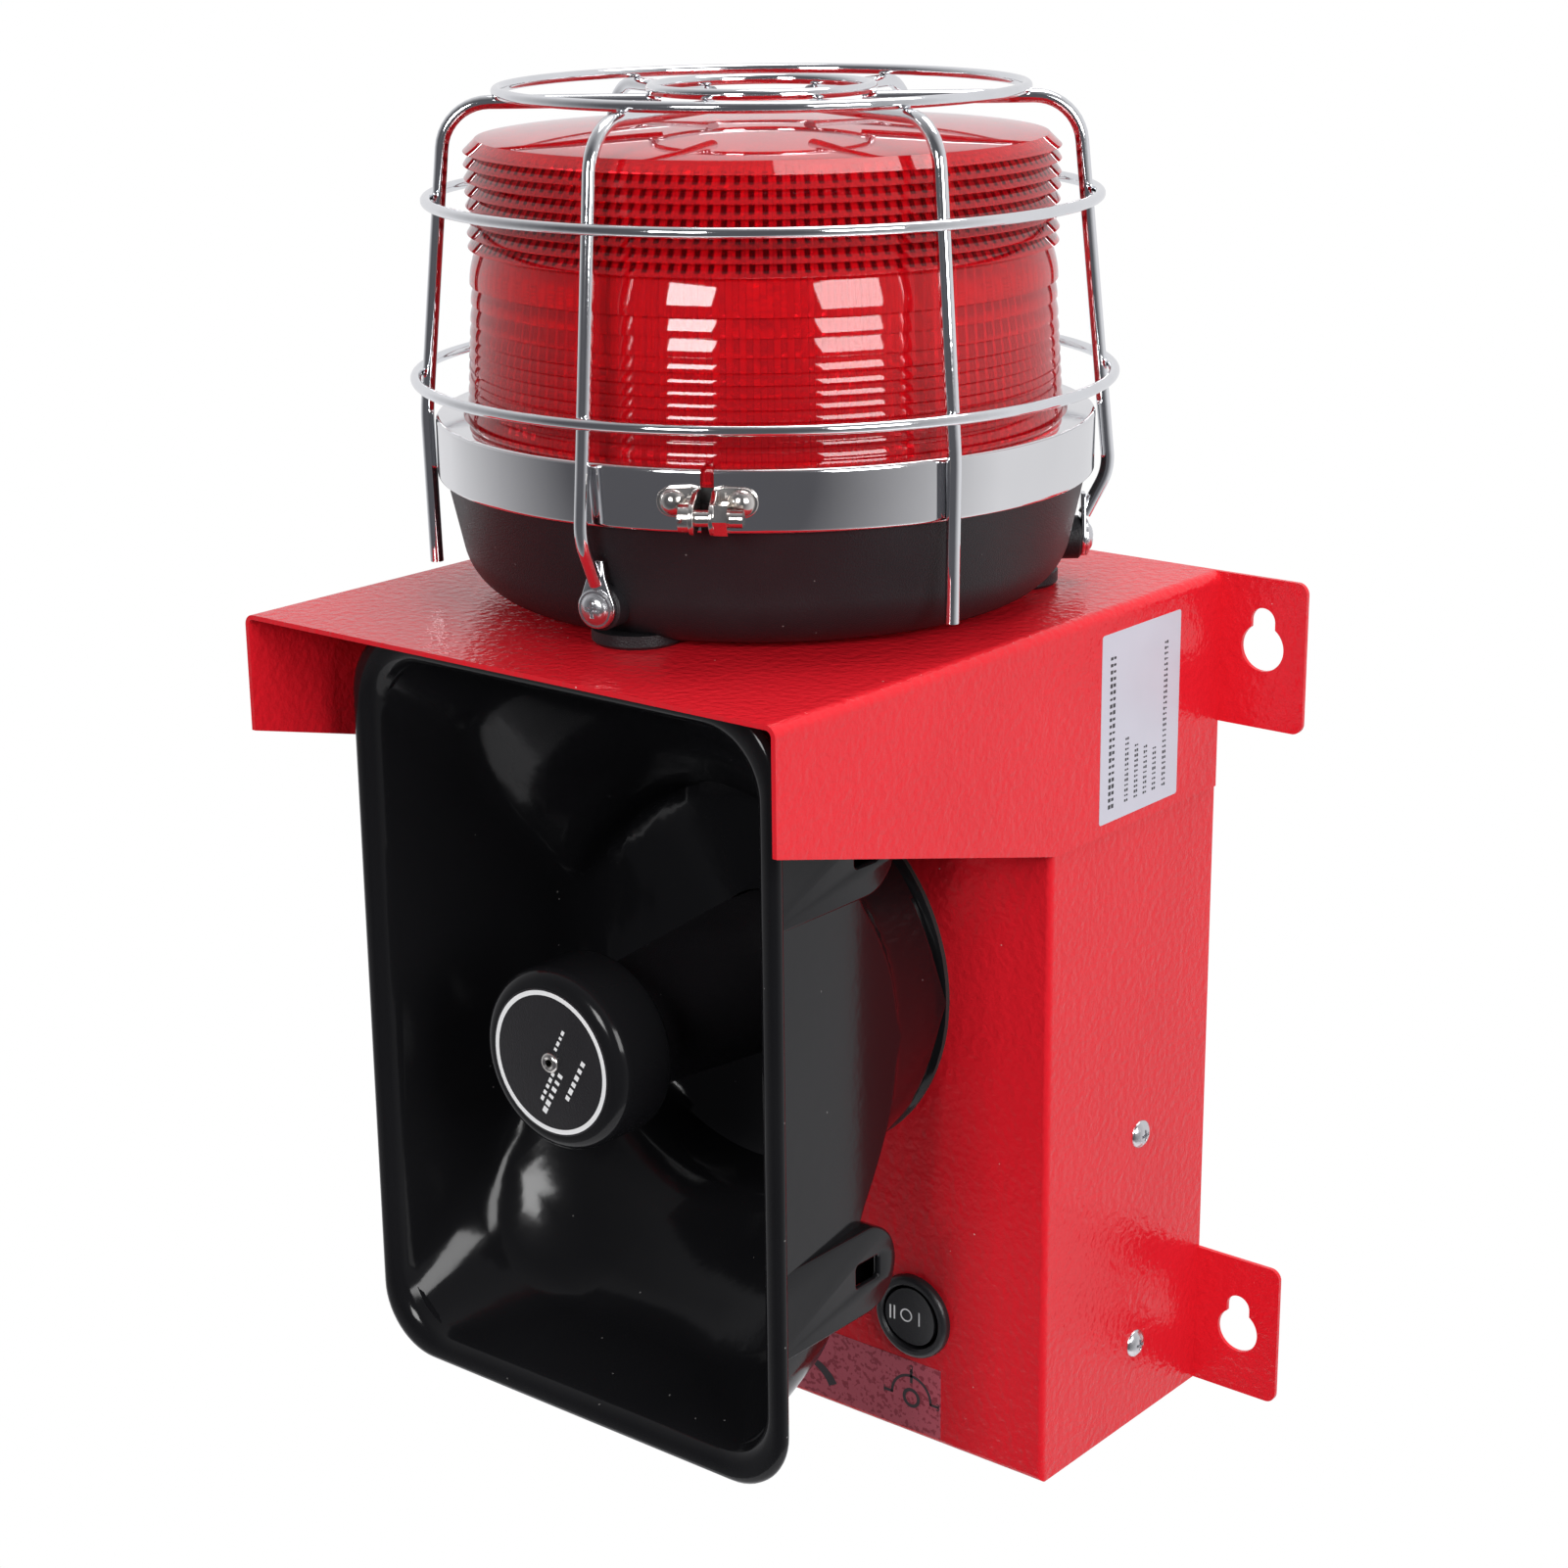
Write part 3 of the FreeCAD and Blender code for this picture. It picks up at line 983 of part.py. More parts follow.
def make_cage():
    def ring(name, radius, height):
        save(name, on_beacon(Part.makeTorus(radius, RING_WIRE, V(0, 0, height), V(0, 0, 1))))
    ring("cage_top_ring", *TOP_RING)
    ring("cage_eye_ring", EYE_RING_RADIUS, TOP_RING[1])
    ring("cage_mid_ring", *MID_RING)
    ring("cage_low_ring", *LOW_RING)
    inset = RING_WIRE + RIB_WIRE - WELD
    spoke = TOP_RING[1] - inset
    mid = (MID_RING[0] - inset, MID_RING[1])
    low = (LOW_RING[0] - inset, LOW_RING[1])
    lean = (low[0] - mid[0]) / (low[1] - mid[1])
    shoulder = (mid[0] + lean * (spoke - mid[1]), spoke)
    free_knee = (low[0] + lean * (band_top() - low[1]), band_top())
    under_band = BASE_FLANGE_BOTTOM - 3
    spade_knee = (low[0] + lean * (under_band - low[1]), under_band)
    spade = spade_inner()
    neck = (spade + SPADE_THICKNESS / 2 + 0.4, CAGE_SCREW_HEIGHT + 6)
    ribs = []
    for k in range(RIB_COUNT):
        angle = RIB_FIRST_ANGLE + k * RIB_STEP
        inner_end = (EYE_RING_RADIUS - 2.5, spoke)
        if k % 2:
            path = rounded_path([inner_end, shoulder, free_knee, (low[0] + 0.2, RIB_END_HEIGHT)],
                                [RIB_BEND, 60.0])
            rib = wire_rod(path, RIB_WIRE)
        else:
            path = rounded_path([inner_end, shoulder, spade_knee, neck], [RIB_BEND, 14.0])
            rib = wire_rod(path, RIB_WIRE)
            eye = rod(SPADE_RADIUS, (spade, 0, CAGE_SCREW_HEIGHT),
                      (spade + SPADE_THICKNESS, 0, CAGE_SCREW_HEIGHT))
            shank = block(spade, spade + SPADE_THICKNESS, -2.3, 2.3, CAGE_SCREW_HEIGHT,
                          CAGE_SCREW_HEIGHT + 9)
            rib = fused([rib, eye, shank])
            rib = rib.cut(rod(CAGE_SCREW_RADIUS + 0.3, (spade, 0, CAGE_SCREW_HEIGHT),
                              (spade + SPADE_THICKNESS, 0, CAGE_SCREW_HEIGHT)))
        ribs.append(on_beacon(rib, angle))
    save("cage_ribs", ribs)
    seat = spade + SPADE_THICKNESS
    screws = []
    for k in range(0, RIB_COUNT, 2):
        head = turned((0, 0), [(CAGE_SCREW_HEAD, 0), (CAGE_SCREW_HEAD, 0.7), (3.2, 0.9),
                               ((2.4, 2.0), (1.2, 2.4)), (0, 2.4)])
        cross = [block(-1.9, 1.9, -0.35, 0.35, 1.2, 3), block(-0.35, 0.35, -1.9, 1.9, 1.2, 3)]
        head = head.cut(Part.makeCompound(cross))
        head.rotate(V(0, 0, 0), V(0, 1, 0), 90)
        head.translate(V(seat, 0, CAGE_SCREW_HEIGHT))
        screw = fused([head, rod(CAGE_SCREW_RADIUS, (seat - 11, 0, CAGE_SCREW_HEIGHT),
                                 (seat, 0, CAGE_SCREW_HEIGHT))])
        screws.append(on_beacon(screw, RIB_FIRST_ANGLE + k * RIB_STEP))
    save("cage_screws", screws)


# ---------------------------------------------------------------- light column
def make_light_column():
    floor = FOOT_GAP + BASE_FLOOR
    across = 2 * COLUMN_FLAT
    top = floor + COLUMN_HEIGHT
    column = hex_bar(across, (0, 0, floor), (0, 0, top))
    column = column.cut(hex_bar(across - 2 * COLUMN_WALL, (0, 0, floor), (0, 0, top - 2)))
    flange_top = floor + COLUMN_FLANGE
    flange = tube(COLUMN_FLANGE_RADIUS, COLUMN_FLAT - COLUMN_WALL, (0, 0, floor), (0, 0, flange_top))
    screw_holes = []
    for angle in COLUMN_SCREW_ANGLES:
        a = math.radians(angle)
        x, y = COLUMN_SCREW_CIRCLE * math.cos(a), COLUMN_SCREW_CIRCLE * math.sin(a)
        screw_holes.append(rod(BOARD_HOLE_RADIUS, (x, y, floor), (x, y, flange_top)))
    column = fused([column, flange]).cut(Part.makeCompound(screw_holes))
    save("led_column", on_beacon(column))
    boards = []
    leds = []
    board_low = lens_flange_bottom() + 4
    board_high = top - 2
    step = (board_high - board_low) / LED_ROWS
    face = COLUMN_FLAT + BOARD_THICKNESS
    for k in range(6):
        angle = 60 * k + 30
        boards.append(on_beacon(block(COLUMN_FLAT, face, -10, 10, board_low, board_high), angle))
        for row in range(LED_ROWS):
            z = board_low + step * (row + 0.5)
            leds.append(on_beacon(block(face, face + LED_HEIGHT, -LED_SIZE / 2, LED_SIZE / 2,
                                        z - LED_SIZE / 2,
                                        z + LED_SIZE / 2), angle))
    save("led_boards", boards)
    save("leds", leds)


make_hood()
make_box_body()
make_back_plate()
make_inner_tray()
make_side_screws()
make_labels()
make_gland()
make_horn_bell()
make_tone_tube()
make_horn_cap()
make_horn_bolts()
make_driver()
make_switch()
save("control_nuts", [make_control("volume", VOLUME_X), make_control("tone", TONE_X)])
make_electronics()
make_beacon_base()
make_base_fixings()
make_lens()
make_clamp_band()
make_cage()
make_light_column()
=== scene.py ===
# %% [markdown]
# # Wall alarm siren
# A red sheet-steel box carries a black horn loudspeaker on its front and a
# caged red beacon on its top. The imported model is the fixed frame: every
# place below is read from it, and every Blender piece goes where it says.

# %% Load the frame
import bpy
import bmesh
import math
import numpy as np
from mathutils import Matrix, Vector


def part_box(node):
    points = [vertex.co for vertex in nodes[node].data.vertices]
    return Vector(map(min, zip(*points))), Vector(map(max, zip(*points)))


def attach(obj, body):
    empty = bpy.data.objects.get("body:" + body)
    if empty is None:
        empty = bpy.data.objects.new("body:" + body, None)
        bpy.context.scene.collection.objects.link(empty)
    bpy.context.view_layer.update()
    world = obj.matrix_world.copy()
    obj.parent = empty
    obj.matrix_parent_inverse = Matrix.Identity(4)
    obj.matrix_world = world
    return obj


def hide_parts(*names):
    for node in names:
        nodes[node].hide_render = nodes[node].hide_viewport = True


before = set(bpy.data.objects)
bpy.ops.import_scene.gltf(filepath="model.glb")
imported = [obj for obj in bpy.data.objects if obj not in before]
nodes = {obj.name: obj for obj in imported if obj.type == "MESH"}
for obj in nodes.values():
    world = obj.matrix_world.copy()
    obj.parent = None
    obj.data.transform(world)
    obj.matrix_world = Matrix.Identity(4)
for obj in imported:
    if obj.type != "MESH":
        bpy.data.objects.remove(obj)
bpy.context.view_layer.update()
scene = bpy.context.scene

# %% Places on the frame
MM = 0.001
cap_low, cap_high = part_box("horn_cap")
bell_low, bell_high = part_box("horn_bell")
lens_low, lens_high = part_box("lens")
HOOD_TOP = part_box("hood")[1].z
HORN_Z = (cap_low.z + cap_high.z) / 2
BEACON_Y = (lens_low.y + lens_high.y) / 2
BOX_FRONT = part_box("box_body")[0].y
print("horn axis height", round(HORN_Z, 4), "beacon axis", round(BEACON_Y, 4), "hood top",
      round(HOOD_TOP, 4))


def on_horn(points):
    """(across, up, forward from the wall) in millimetres, about the horn's axis."""
    p = np.asarray(points, float) * MM
    return np.column_stack([p[:, 0], -p[:, 2], p[:, 1] + HORN_Z])


def on_beacon(points, angle=0.0):
    """(outwards, sideways, above the hood) in millimetres, about the beacon's axis."""
    p = np.asarray(points, float) * MM
    c, s = math.cos(math.radians(angle)), math.sin(math.radians(angle))
    return np.column_stack([c * p[:, 0] - s * p[:, 1], s * p[:, 0] + c * p[:, 1] + BEACON_Y,
                            p[:, 2] + HOOD_TOP])


# %% [markdown]
# ## Camera
# The camera stands in front and to the right of the siren, a little above
# it, and is turned a fraction of a degree. A matrix built from its three
# directions places it exactly, with no shift and no depth of field.

# %% Camera
CAMERA_PLACE = Vector((0.48167, -0.66551, 0.29476))
AZIMUTH, ELEVATION, ROLL = (math.radians(a) for a in (39.319, 17.064, -0.650))
back = Vector((math.sin(AZIMUTH) * math.cos(ELEVATION), -math.cos(AZIMUTH) * math.cos(ELEVATION),
               math.sin(ELEVATION)))
level_right = (-back).cross(Vector((0, 0, 1))).normalized()
level_up = level_right.cross(-back)
right = level_right * math.cos(ROLL) + level_up * math.sin(ROLL)
up = level_up * math.cos(ROLL) - level_right * math.sin(ROLL)
camera = bpy.data.objects.new("camera", bpy.data.cameras.new("camera"))
camera.matrix_world = Matrix.Translation(CAMERA_PLACE) @ Matrix((right, up, back)).transposed().to_4x4()
camera.data.sensor_width = 36
camera.data.lens = 69.59
camera.data.clip_start = 0.01
scene.collection.objects.link(camera)
scene.camera = camera
print("camera at", [round(v, 3) for v in CAMERA_PLACE])

# %% [markdown]
# ## Floor and light
# A round pale floor lies well below the siren. Three soft panels light it
# from the right, the left and above. The sky is bright at the sides and
# behind and dark in front, so that the front plate and the horn stay deep in
# tone and the chrome has both light and dark to reflect.

# %% Floor, lamps and sky
FLOOR_Z = -0.62
FLOOR_RADIUS = 0.62
STUDIO_WHITE = (0.92, 0.92, 0.93, 1)


def soft_panel(name, place, target, size, power):
    """A square area lamp that faces its target."""
    lamp = bpy.data.lights.new(name, "AREA")
    lamp.size, lamp.energy = size, power
    obj = bpy.data.objects.new(name, lamp)
    obj.location = place
    obj.rotation_euler = (Vector(target) - Vector(place)).to_track_quat("-Z", "Y").to_euler()
    scene.collection.objects.link(obj)


floor_mesh = bpy.data.meshes.new("floor")
edge = [(FLOOR_RADIUS * math.cos(2 * math.pi * k / 96), FLOOR_RADIUS * math.sin(2 * math.pi * k / 96),
         FLOOR_Z)
        for k in range(96)]
floor_mesh.from_pydata(edge, [], [tuple(range(96))])
floor = bpy.data.objects.new("floor", floor_mesh)
scene.collection.objects.link(floor)
pale = bpy.data.materials.new("pale_floor")
pale.use_nodes = True
pale.node_tree.nodes["Principled BSDF"].inputs["Base Color"].default_value = STUDIO_WHITE
pale.node_tree.nodes["Principled BSDF"].inputs["Roughness"].default_value = 0.9
floor_mesh.materials.append(pale)
soft_panel("right_panel", (1.30, -0.50, 0.55), (0, -0.08, 0.05), 0.6, 12)
soft_panel("left_panel", (0.27, -1.40, 0.60), (0, -0.08, 0.05), 0.42, 10)
soft_panel("top_panel", (0.1, 0.25, 1.35), (0, -0.08, 0.1), 0.8, 9)
world = bpy.data.worlds.new("studio")
world.use_nodes = True
scene.world = world
sky = world.node_tree
sky.nodes.clear()
ray = sky.nodes.new("ShaderNodeLightPath")
direction = sky.nodes.new("ShaderNodeTexCoord")
facing = sky.nodes.new("ShaderNodeVectorMath")
facing.operation = "DOT_PRODUCT"
facing.inputs[1].default_value = (0.22, -0.97, 0.05)
ramp = sky.nodes.new("ShaderNodeValToRGB")
ramp.color_ramp.elements[0].position = 0.30
ramp.color_ramp.elements[0].color = (0.80, 0.80, 0.82, 1)
ramp.color_ramp.elements[1].position = 0.86
ramp.color_ramp.elements[1].color = (0.10, 0.10, 0.11, 1)
lift = sky.nodes.new("ShaderNodeMapRange")
lift.inputs["From Min"].default_value = -1
lit = sky.nodes.new("ShaderNodeBackground")
seen = sky.nodes.new("ShaderNodeBackground")
seen.inputs["Color"].default_value = (1, 1, 1, 1)
either = sky.nodes.new("ShaderNodeMixShader")
out = sky.nodes.new("ShaderNodeOutputWorld")
sky.links.new(direction.outputs["Generated"], facing.inputs[0])
sky.links.new(facing.outputs["Value"], lift.inputs["Value"])
sky.links.new(lift.outputs["Result"], ramp.inputs["Fac"])
sky.links.new(ramp.outputs["Color"], lit.inputs["Color"])
sky.links.new(ray.outputs["Is Camera Ray"], either.inputs["Fac"])
sky.links.new(lit.outputs[0], either.inputs[1])
sky.links.new(seen.outputs[0], either.inputs[2])
sky.links.new(either.outputs[0], out.inputs["Surface"])
scene.view_settings.view_transform = "Standard"
print("floor at", FLOOR_Z, "lamps 3")

# %% [markdown]
# ## Shader groups
# Several finishes share the same small effects, so each effect is a node
# group: a fine grain for bumps and shade, pale dust specks, and streaks that
# run one way as drawing or brushing leaves them. A group only puts out
# values that change over the surface. The shader stays in each material.


# %% Group helpers
def new_group(name, inputs, outputs):
    """A shader node group with float inputs and outputs, and its two end nodes."""
    group = bpy.data.node_groups.new(name, "ShaderNodeTree")
    for label, value in inputs:
        socket = group.interface.new_socket(label, in_out="INPUT", socket_type="NodeSocketFloat")
        socket.default_value = value
    for label in outputs:
        group.interface.new_socket(label, in_out="OUTPUT", socket_type="NodeSocketFloat")
    return group, group.nodes.new("NodeGroupInput"), group.nodes.new("NodeGroupOutput")


def add(tree, kind, settings=None, **links):
    """A node with its inputs set to values or joined to other nodes' sockets."""
    node = tree.nodes.new(kind)
    for key, value in (settings or {}).items():
        setattr(node, key, value)
    for key, value in links.items():
        by_number = key[0] == "i" and key[1:].isdigit()
        socket = node.inputs[int(key[1:])] if by_number else node.inputs[key.replace("_", " ")]
        if isinstance(value, bpy.types.NodeSocket):
            tree.links.new(value, socket)
        else:
            socket.default_value = value
    return node


# %% Grain group
grain_group, grain_in, grain_out = new_group("fine_grain", [("Scale", 900.0), ("Patch Scale", 30.0)],
                                             ["Height", "Patches"])
place = add(grain_group, "ShaderNodeTexCoord")
fine = add(grain_group, "ShaderNodeTexNoise", Vector=place.outputs["Object"],
           Scale=grain_in.outputs["Scale"], Detail=2.0)
broad = add(grain_group, "ShaderNodeTexNoise", Vector=place.outputs["Object"],
            Scale=grain_in.outputs["Patch Scale"],
            Detail=3.0)
grain_group.links.new(fine.outputs["Fac"], grain_out.inputs["Height"])
grain_group.links.new(broad.outputs["Fac"], grain_out.inputs["Patches"])
print("group", grain_group.name)

# %% Dust group
dust_group, dust_in, dust_out = new_group("dust_specks", [("Scale", 260.0), ("Size", 0.06)], ["Specks"])
place = add(dust_group, "ShaderNodeTexCoord")
cells = add(dust_group, "ShaderNodeTexVoronoi", Vector=place.outputs["Object"],
            Scale=dust_in.outputs["Scale"])
near = add(dust_group, "ShaderNodeMath", {"operation": "LESS_THAN"}, i0=cells.outputs["Distance"],
           i1=dust_in.outputs["Size"])
chance = add(dust_group, "ShaderNodeSeparateColor", Color=cells.outputs["Color"])
few = add(dust_group, "ShaderNodeMath", {"operation": "GREATER_THAN"}, i0=chance.outputs["Red"], i1=0.9)
both = add(dust_group, "ShaderNodeMath", {"operation": "MULTIPLY"}, i0=near.outputs[0], i1=few.outputs[0])
dust_group.links.new(both.outputs[0], dust_out.inputs["Specks"])
print("group", dust_group.name)

# %% Streak group
streak_group, streak_in, streak_out = new_group(
    "drawn_streaks", [("Across", 1500.0), ("Along", 60.0), ("Direction", 2.0)], ["Streaks"])
place = add(streak_group, "ShaderNodeTexCoord")
parts = add(streak_group, "ShaderNodeSeparateXYZ", Vector=place.outputs["Object"])
scaled = []
for axis_number, label in enumerate("XYZ"):
    is_axis = add(streak_group, "ShaderNodeMath", {"operation": "COMPARE"},
                  i0=streak_in.outputs["Direction"],
                  i1=float(axis_number), i2=0.1)
    rate = add(streak_group, "ShaderNodeMix", Factor=is_axis.outputs[0], A=streak_in.outputs["Across"],
               B=streak_in.outputs["Along"])
    scaled.append(add(streak_group, "ShaderNodeMath", {"operation": "MULTIPLY"}, i0=parts.outputs[label],
                      i1=rate.outputs["Result"]))
joined = add(streak_group, "ShaderNodeCombineXYZ", X=scaled[0].outputs[0], Y=scaled[1].outputs[0],
             Z=scaled[2].outputs[0])
lines = add(streak_group, "ShaderNodeTexNoise", Vector=joined.outputs[0], Scale=1.0, Detail=2.0)
streak_group.links.new(lines.outputs["Fac"], streak_out.inputs["Streaks"])
print("group", streak_group.name)

# %% [markdown]
# ## Finishes
# One function lays down what every finish has: a colour that drifts a little
# from patch to patch, a grain that catches the light, a roughness that
# drifts with the patches, and dust where the real part gathers it.


# %% Finish function
def finish(name, colour, rough, metal=0.0, grain=900.0, bump=0.02, patches=30.0, drift=0.12, dust=0.0,
           streaks=None,
           coat=0.0, spread=0.25, ior=1.5):
    """A material with patchy colour and roughness, a bumpy grain, and optional dust or streaks."""
    material = bpy.data.materials.new(name)
    material.use_nodes = True
    tree = material.node_tree
    shader = tree.nodes["Principled BSDF"]
    shader.inputs["Metallic"].default_value = metal
    shader.inputs["IOR"].default_value = ior
    shader.inputs["Coat Weight"].default_value = coat
    shader.inputs["Coat Roughness"].default_value = 0.08
    detail = add(tree, "ShaderNodeGroup", {"node_tree": grain_group}, Scale=grain, Patch_Scale=patches)
    dark = tuple(c * (1 - drift) for c in colour) + (1,)
    light = tuple(min(1.0, c * (1 + drift) + 0.004) for c in colour) + (1,)
    shade = add(tree, "ShaderNodeMix", {"data_type": "RGBA"}, Factor=detail.outputs["Patches"])
    shade.inputs[6].default_value, shade.inputs[7].default_value = dark, light
    final = shade.outputs[2]
    height = detail.outputs["Height"]
    if dust:
        specks = add(tree, "ShaderNodeGroup", {"node_tree": dust_group})
        amount = add(tree, "ShaderNodeMath", {"operation": "MULTIPLY"}, i0=specks.outputs["Specks"], i1=dust)
        dusty = add(tree, "ShaderNodeMix", {"data_type": "RGBA"}, Factor=amount.outputs[0])
        tree.links.new(final, dusty.inputs[6])
        dusty.inputs[7].default_value = (0.75, 0.72, 0.7, 1)
        final = dusty.outputs[2]
    if streaks is not None:
        drawn = add(tree, "ShaderNodeGroup", {"node_tree": streak_group}, Direction=float(streaks))
        height = add(tree, "ShaderNodeMath", {"operation": "ADD"}, i0=height,
                     i1=drawn.outputs["Streaks"]).outputs[0]
    tree.links.new(final, shader.inputs["Base Color"])
    roughness = add(tree, "ShaderNodeMapRange", Value=detail.outputs["Patches"], To_Min=rough * (1 - spread),
                    To_Max=rough * (1 + spread))
    tree.links.new(roughness.outputs["Result"], shader.inputs["Roughness"])
    if bump:
        relief = add(tree, "ShaderNodeBump", Height=height, Distance=0.001, Strength=bump)
        tree.links.new(relief.outputs["Normal"], shader.inputs["Normal"])
    return material


# %% Finishes of the siren
PAINT_RED = (0.70, 0.010, 0.020)
red_paint = finish("red_paint", PAINT_RED, 0.2, grain=430, bump=0.4, patches=22, drift=0.08, dust=0.5,
                   ior=1.4)
horn_gloss = finish("horn_gloss_black", (0.006, 0.006, 0.007), 0.13, grain=240, bump=0.03, patches=18,
                    dust=0.2,
                    ior=1.3)
satin_black = finish("satin_black", (0.011, 0.010, 0.012), 0.42, grain=2600, bump=0.25, patches=40,
                     dust=0.2, ior=1.38)
switch_black = finish("switch_black", (0.014, 0.014, 0.016), 0.33, grain=2200, bump=0.12, patches=90)
seal_rubber = finish("seal_rubber", (0.02, 0.02, 0.02), 0.7, grain=1400, bump=0.2)
chrome_wire = finish("chrome_wire", (0.80, 0.81, 0.83), 0.07, metal=1.0, grain=420, bump=0.03, patches=120,
                     drift=0.05)
band_mirror = finish("band_mirror", (0.78, 0.78, 0.79), 0.08, metal=1.0, grain=160, bump=0.01, patches=50,
                     drift=0.04)
bright_nickel = finish("bright_nickel", (0.68, 0.65, 0.62), 0.18, metal=1.0, grain=900, bump=0.05,
                       patches=220)
screw_zinc = finish("screw_zinc", (0.66, 0.66, 0.68), 0.25, metal=1.0, grain=1500, bump=0.06, patches=300)
zinc_sheet = finish("zinc_sheet", (0.60, 0.61, 0.62), 0.36, metal=1.0, patches=60, drift=0.2, streaks=0,
                    bump=0.04)
label_paper = finish("label_paper", (0.56, 0.55, 0.62), 0.38, grain=3000, bump=0.03, patches=70, drift=0.05)
print_ink = finish("print_ink", (0.02, 0.02, 0.024), 0.5, grain=3000, bump=0.02)
print_white = finish("print_white", (0.92, 0.92, 0.92), 0.45, grain=3000, bump=0.02)
print("finishes", len(bpy.data.materials))

# %% [markdown]
# The lens is clear red plastic. Its material is a plain transmission with a
# tinted colour, so light that enters at the back leaves red at the front.
# Painted shade darkens small cells between the flutes and louvres, and thin
# lines along every flute, where the real moulding turns light away from the eye.

# %% Lens red and label film
lens_red = bpy.data.materials.new("lens_red")
lens_red.use_nodes = True
tree = lens_red.node_tree
shader = tree.nodes["Principled BSDF"]
shader.inputs["Transmission Weight"].default_value = 0.72
shader.inputs["IOR"].default_value = 1.49
detail = add(tree, "ShaderNodeGroup", {"node_tree": grain_group}, Scale=160.0, Patch_Scale=25.0)
tint = add(tree, "ShaderNodeMix", {"data_type": "RGBA"}, Factor=detail.outputs["Patches"])
tint.inputs[6].default_value = (0.97, 0.008, 0.018, 1)
tint.inputs[7].default_value = (1.0, 0.014, 0.028, 1)
where = add(tree, "ShaderNodeTexCoord")
parts = add(tree, "ShaderNodeSeparateXYZ", Vector=where.outputs["Object"])
depth = add(tree, "ShaderNodeMath", {"operation": "SUBTRACT"}, i0=parts.outputs["Y"], i1=BEACON_Y)
turned_by = add(tree, "ShaderNodeMath", {"operation": "ARCTAN2"}, i0=depth.outputs[0], i1=parts.outputs["X"])


def wave(source, rate, start, low_edge, high_edge):
    """A soft-edged stripe pattern, 0 to 1, that repeats along a value."""
    phase = add(tree, "ShaderNodeMath", {"operation": "MULTIPLY_ADD"}, i0=source, i1=rate, i2=start)
    cosine = add(tree, "ShaderNodeMath", {"operation": "COSINE"}, i0=phase.outputs[0])
    return add(tree, "ShaderNodeMapRange", Value=cosine.outputs[0], From_Min=low_edge,
               From_Max=high_edge).outputs["Result"]


def between(source, low_edge, high_edge):
    """One between two values, else nought."""
    above = add(tree, "ShaderNodeMath", {"operation": "GREATER_THAN"}, i0=source, i1=low_edge)
    below = add(tree, "ShaderNodeMath", {"operation": "LESS_THAN"}, i0=source, i1=high_edge)
    return add(tree, "ShaderNodeMath", {"operation": "MULTIPLY"}, i0=above.outputs[0],
               i1=below.outputs[0]).outputs[0]


LENS_FLUTES, LOUVRES = 144, 7
LENS_SHOULDER, WINDOW_TOP = 110.6, 87.5
louvre_top, louvre_end = HOOD_TOP + LENS_SHOULDER * MM, HOOD_TOP + WINDOW_TOP * MM
louvre_rate = 2 * math.pi * LOUVRES / (louvre_top - louvre_end)
# Painted shade: darker cells between the flutes and louvres in the louvre zone, where the moulding turns
# light away from the eye.
across = wave(turned_by.outputs[0], float(LENS_FLUTES), 0.0, -0.1, 0.5)
rows = wave(parts.outputs["Z"], louvre_rate, math.pi * 0.75 - louvre_rate * louvre_end, -0.5, 0.1)
cells = add(tree, "ShaderNodeMath", {"operation": "MULTIPLY"}, i0=across, i1=rows)
zone = between(parts.outputs["Z"], louvre_end, louvre_top)
painted_shade_cells = add(tree, "ShaderNodeMath", {"operation": "MULTIPLY"}, i0=cells.outputs[0], i1=zone)
shaded = add(tree, "ShaderNodeMix", {"data_type": "RGBA"}, Factor=painted_shade_cells.outputs[0])
tree.links.new(tint.outputs[2], shaded.inputs[6])
shaded.inputs[7].default_value = (0.16, 0.002, 0.006, 1)
# Painted shade: thin darker lines along every flute, all round the lens.
lines = wave(turned_by.outputs[0], 2.0 * LENS_FLUTES, 0.0, 0.75, 1.6)
painted_flute_shade = add(tree, "ShaderNodeMix", {"data_type": "RGBA"}, Factor=lines)
tree.links.new(shaded.outputs[2], painted_flute_shade.inputs[6])
painted_flute_shade.inputs[7].default_value = (0.35, 0.002, 0.008, 1)
tree.links.new(painted_flute_shade.outputs[2], shader.inputs["Base Color"])
smear = add(tree, "ShaderNodeMapRange", Value=detail.outputs["Patches"], To_Min=0.015, To_Max=0.05)
tree.links.new(smear.outputs["Result"], shader.inputs["Roughness"])
film = finish("label_film", (0.50, 0.085, 0.12), 0.3, grain=900, bump=0.1, patches=30, drift=0.1)
film_tree = film.node_tree
film_specks = add(film_tree, "ShaderNodeTexNoise", Scale=700.0, Detail=2.0)
film_place = add(film_tree, "ShaderNodeTexCoord")
film_tree.links.new(film_place.outputs["Object"], film_specks.inputs["Vector"])
film_dots = add(film_tree, "ShaderNodeMapRange", Value=film_specks.outputs["Fac"], From_Min=0.53,
                From_Max=0.60)
film_mix = add(film_tree, "ShaderNodeMix", {"data_type": "RGBA"}, Factor=film_dots.outputs["Result"])
film_shader = film_tree.nodes["Principled BSDF"]
film_tree.links.new(film_shader.inputs["Base Color"].links[0].from_socket, film_mix.inputs[6])
film_mix.inputs[7].default_value = (0.30, 0.03, 0.05, 1)
film_tree.links.new(film_mix.outputs[2], film_shader.inputs["Base Color"])
print("lens and film ready")

# %% [markdown]
# ## Mesh helpers
# Turned parts are a closed outline carried round an axis. Moulded parts are
# rings of points joined one to the next. Both are short mesh functions that
# leave the piece at the origin with its place in its vertices.


# %% Mesh helpers
def piece(name, points, faces, material, body="enclosure", replaces=(), sharp=35):
    """A mesh object in the row frame, merged, facing outwards, smooth but for sharp edges."""
    mesh = bpy.data.meshes.new(name)
    mesh.from_pydata([tuple(p) for p in points], [], [tuple(f) for f in faces])
    return finished(name, mesh, material, body, replaces, sharp)


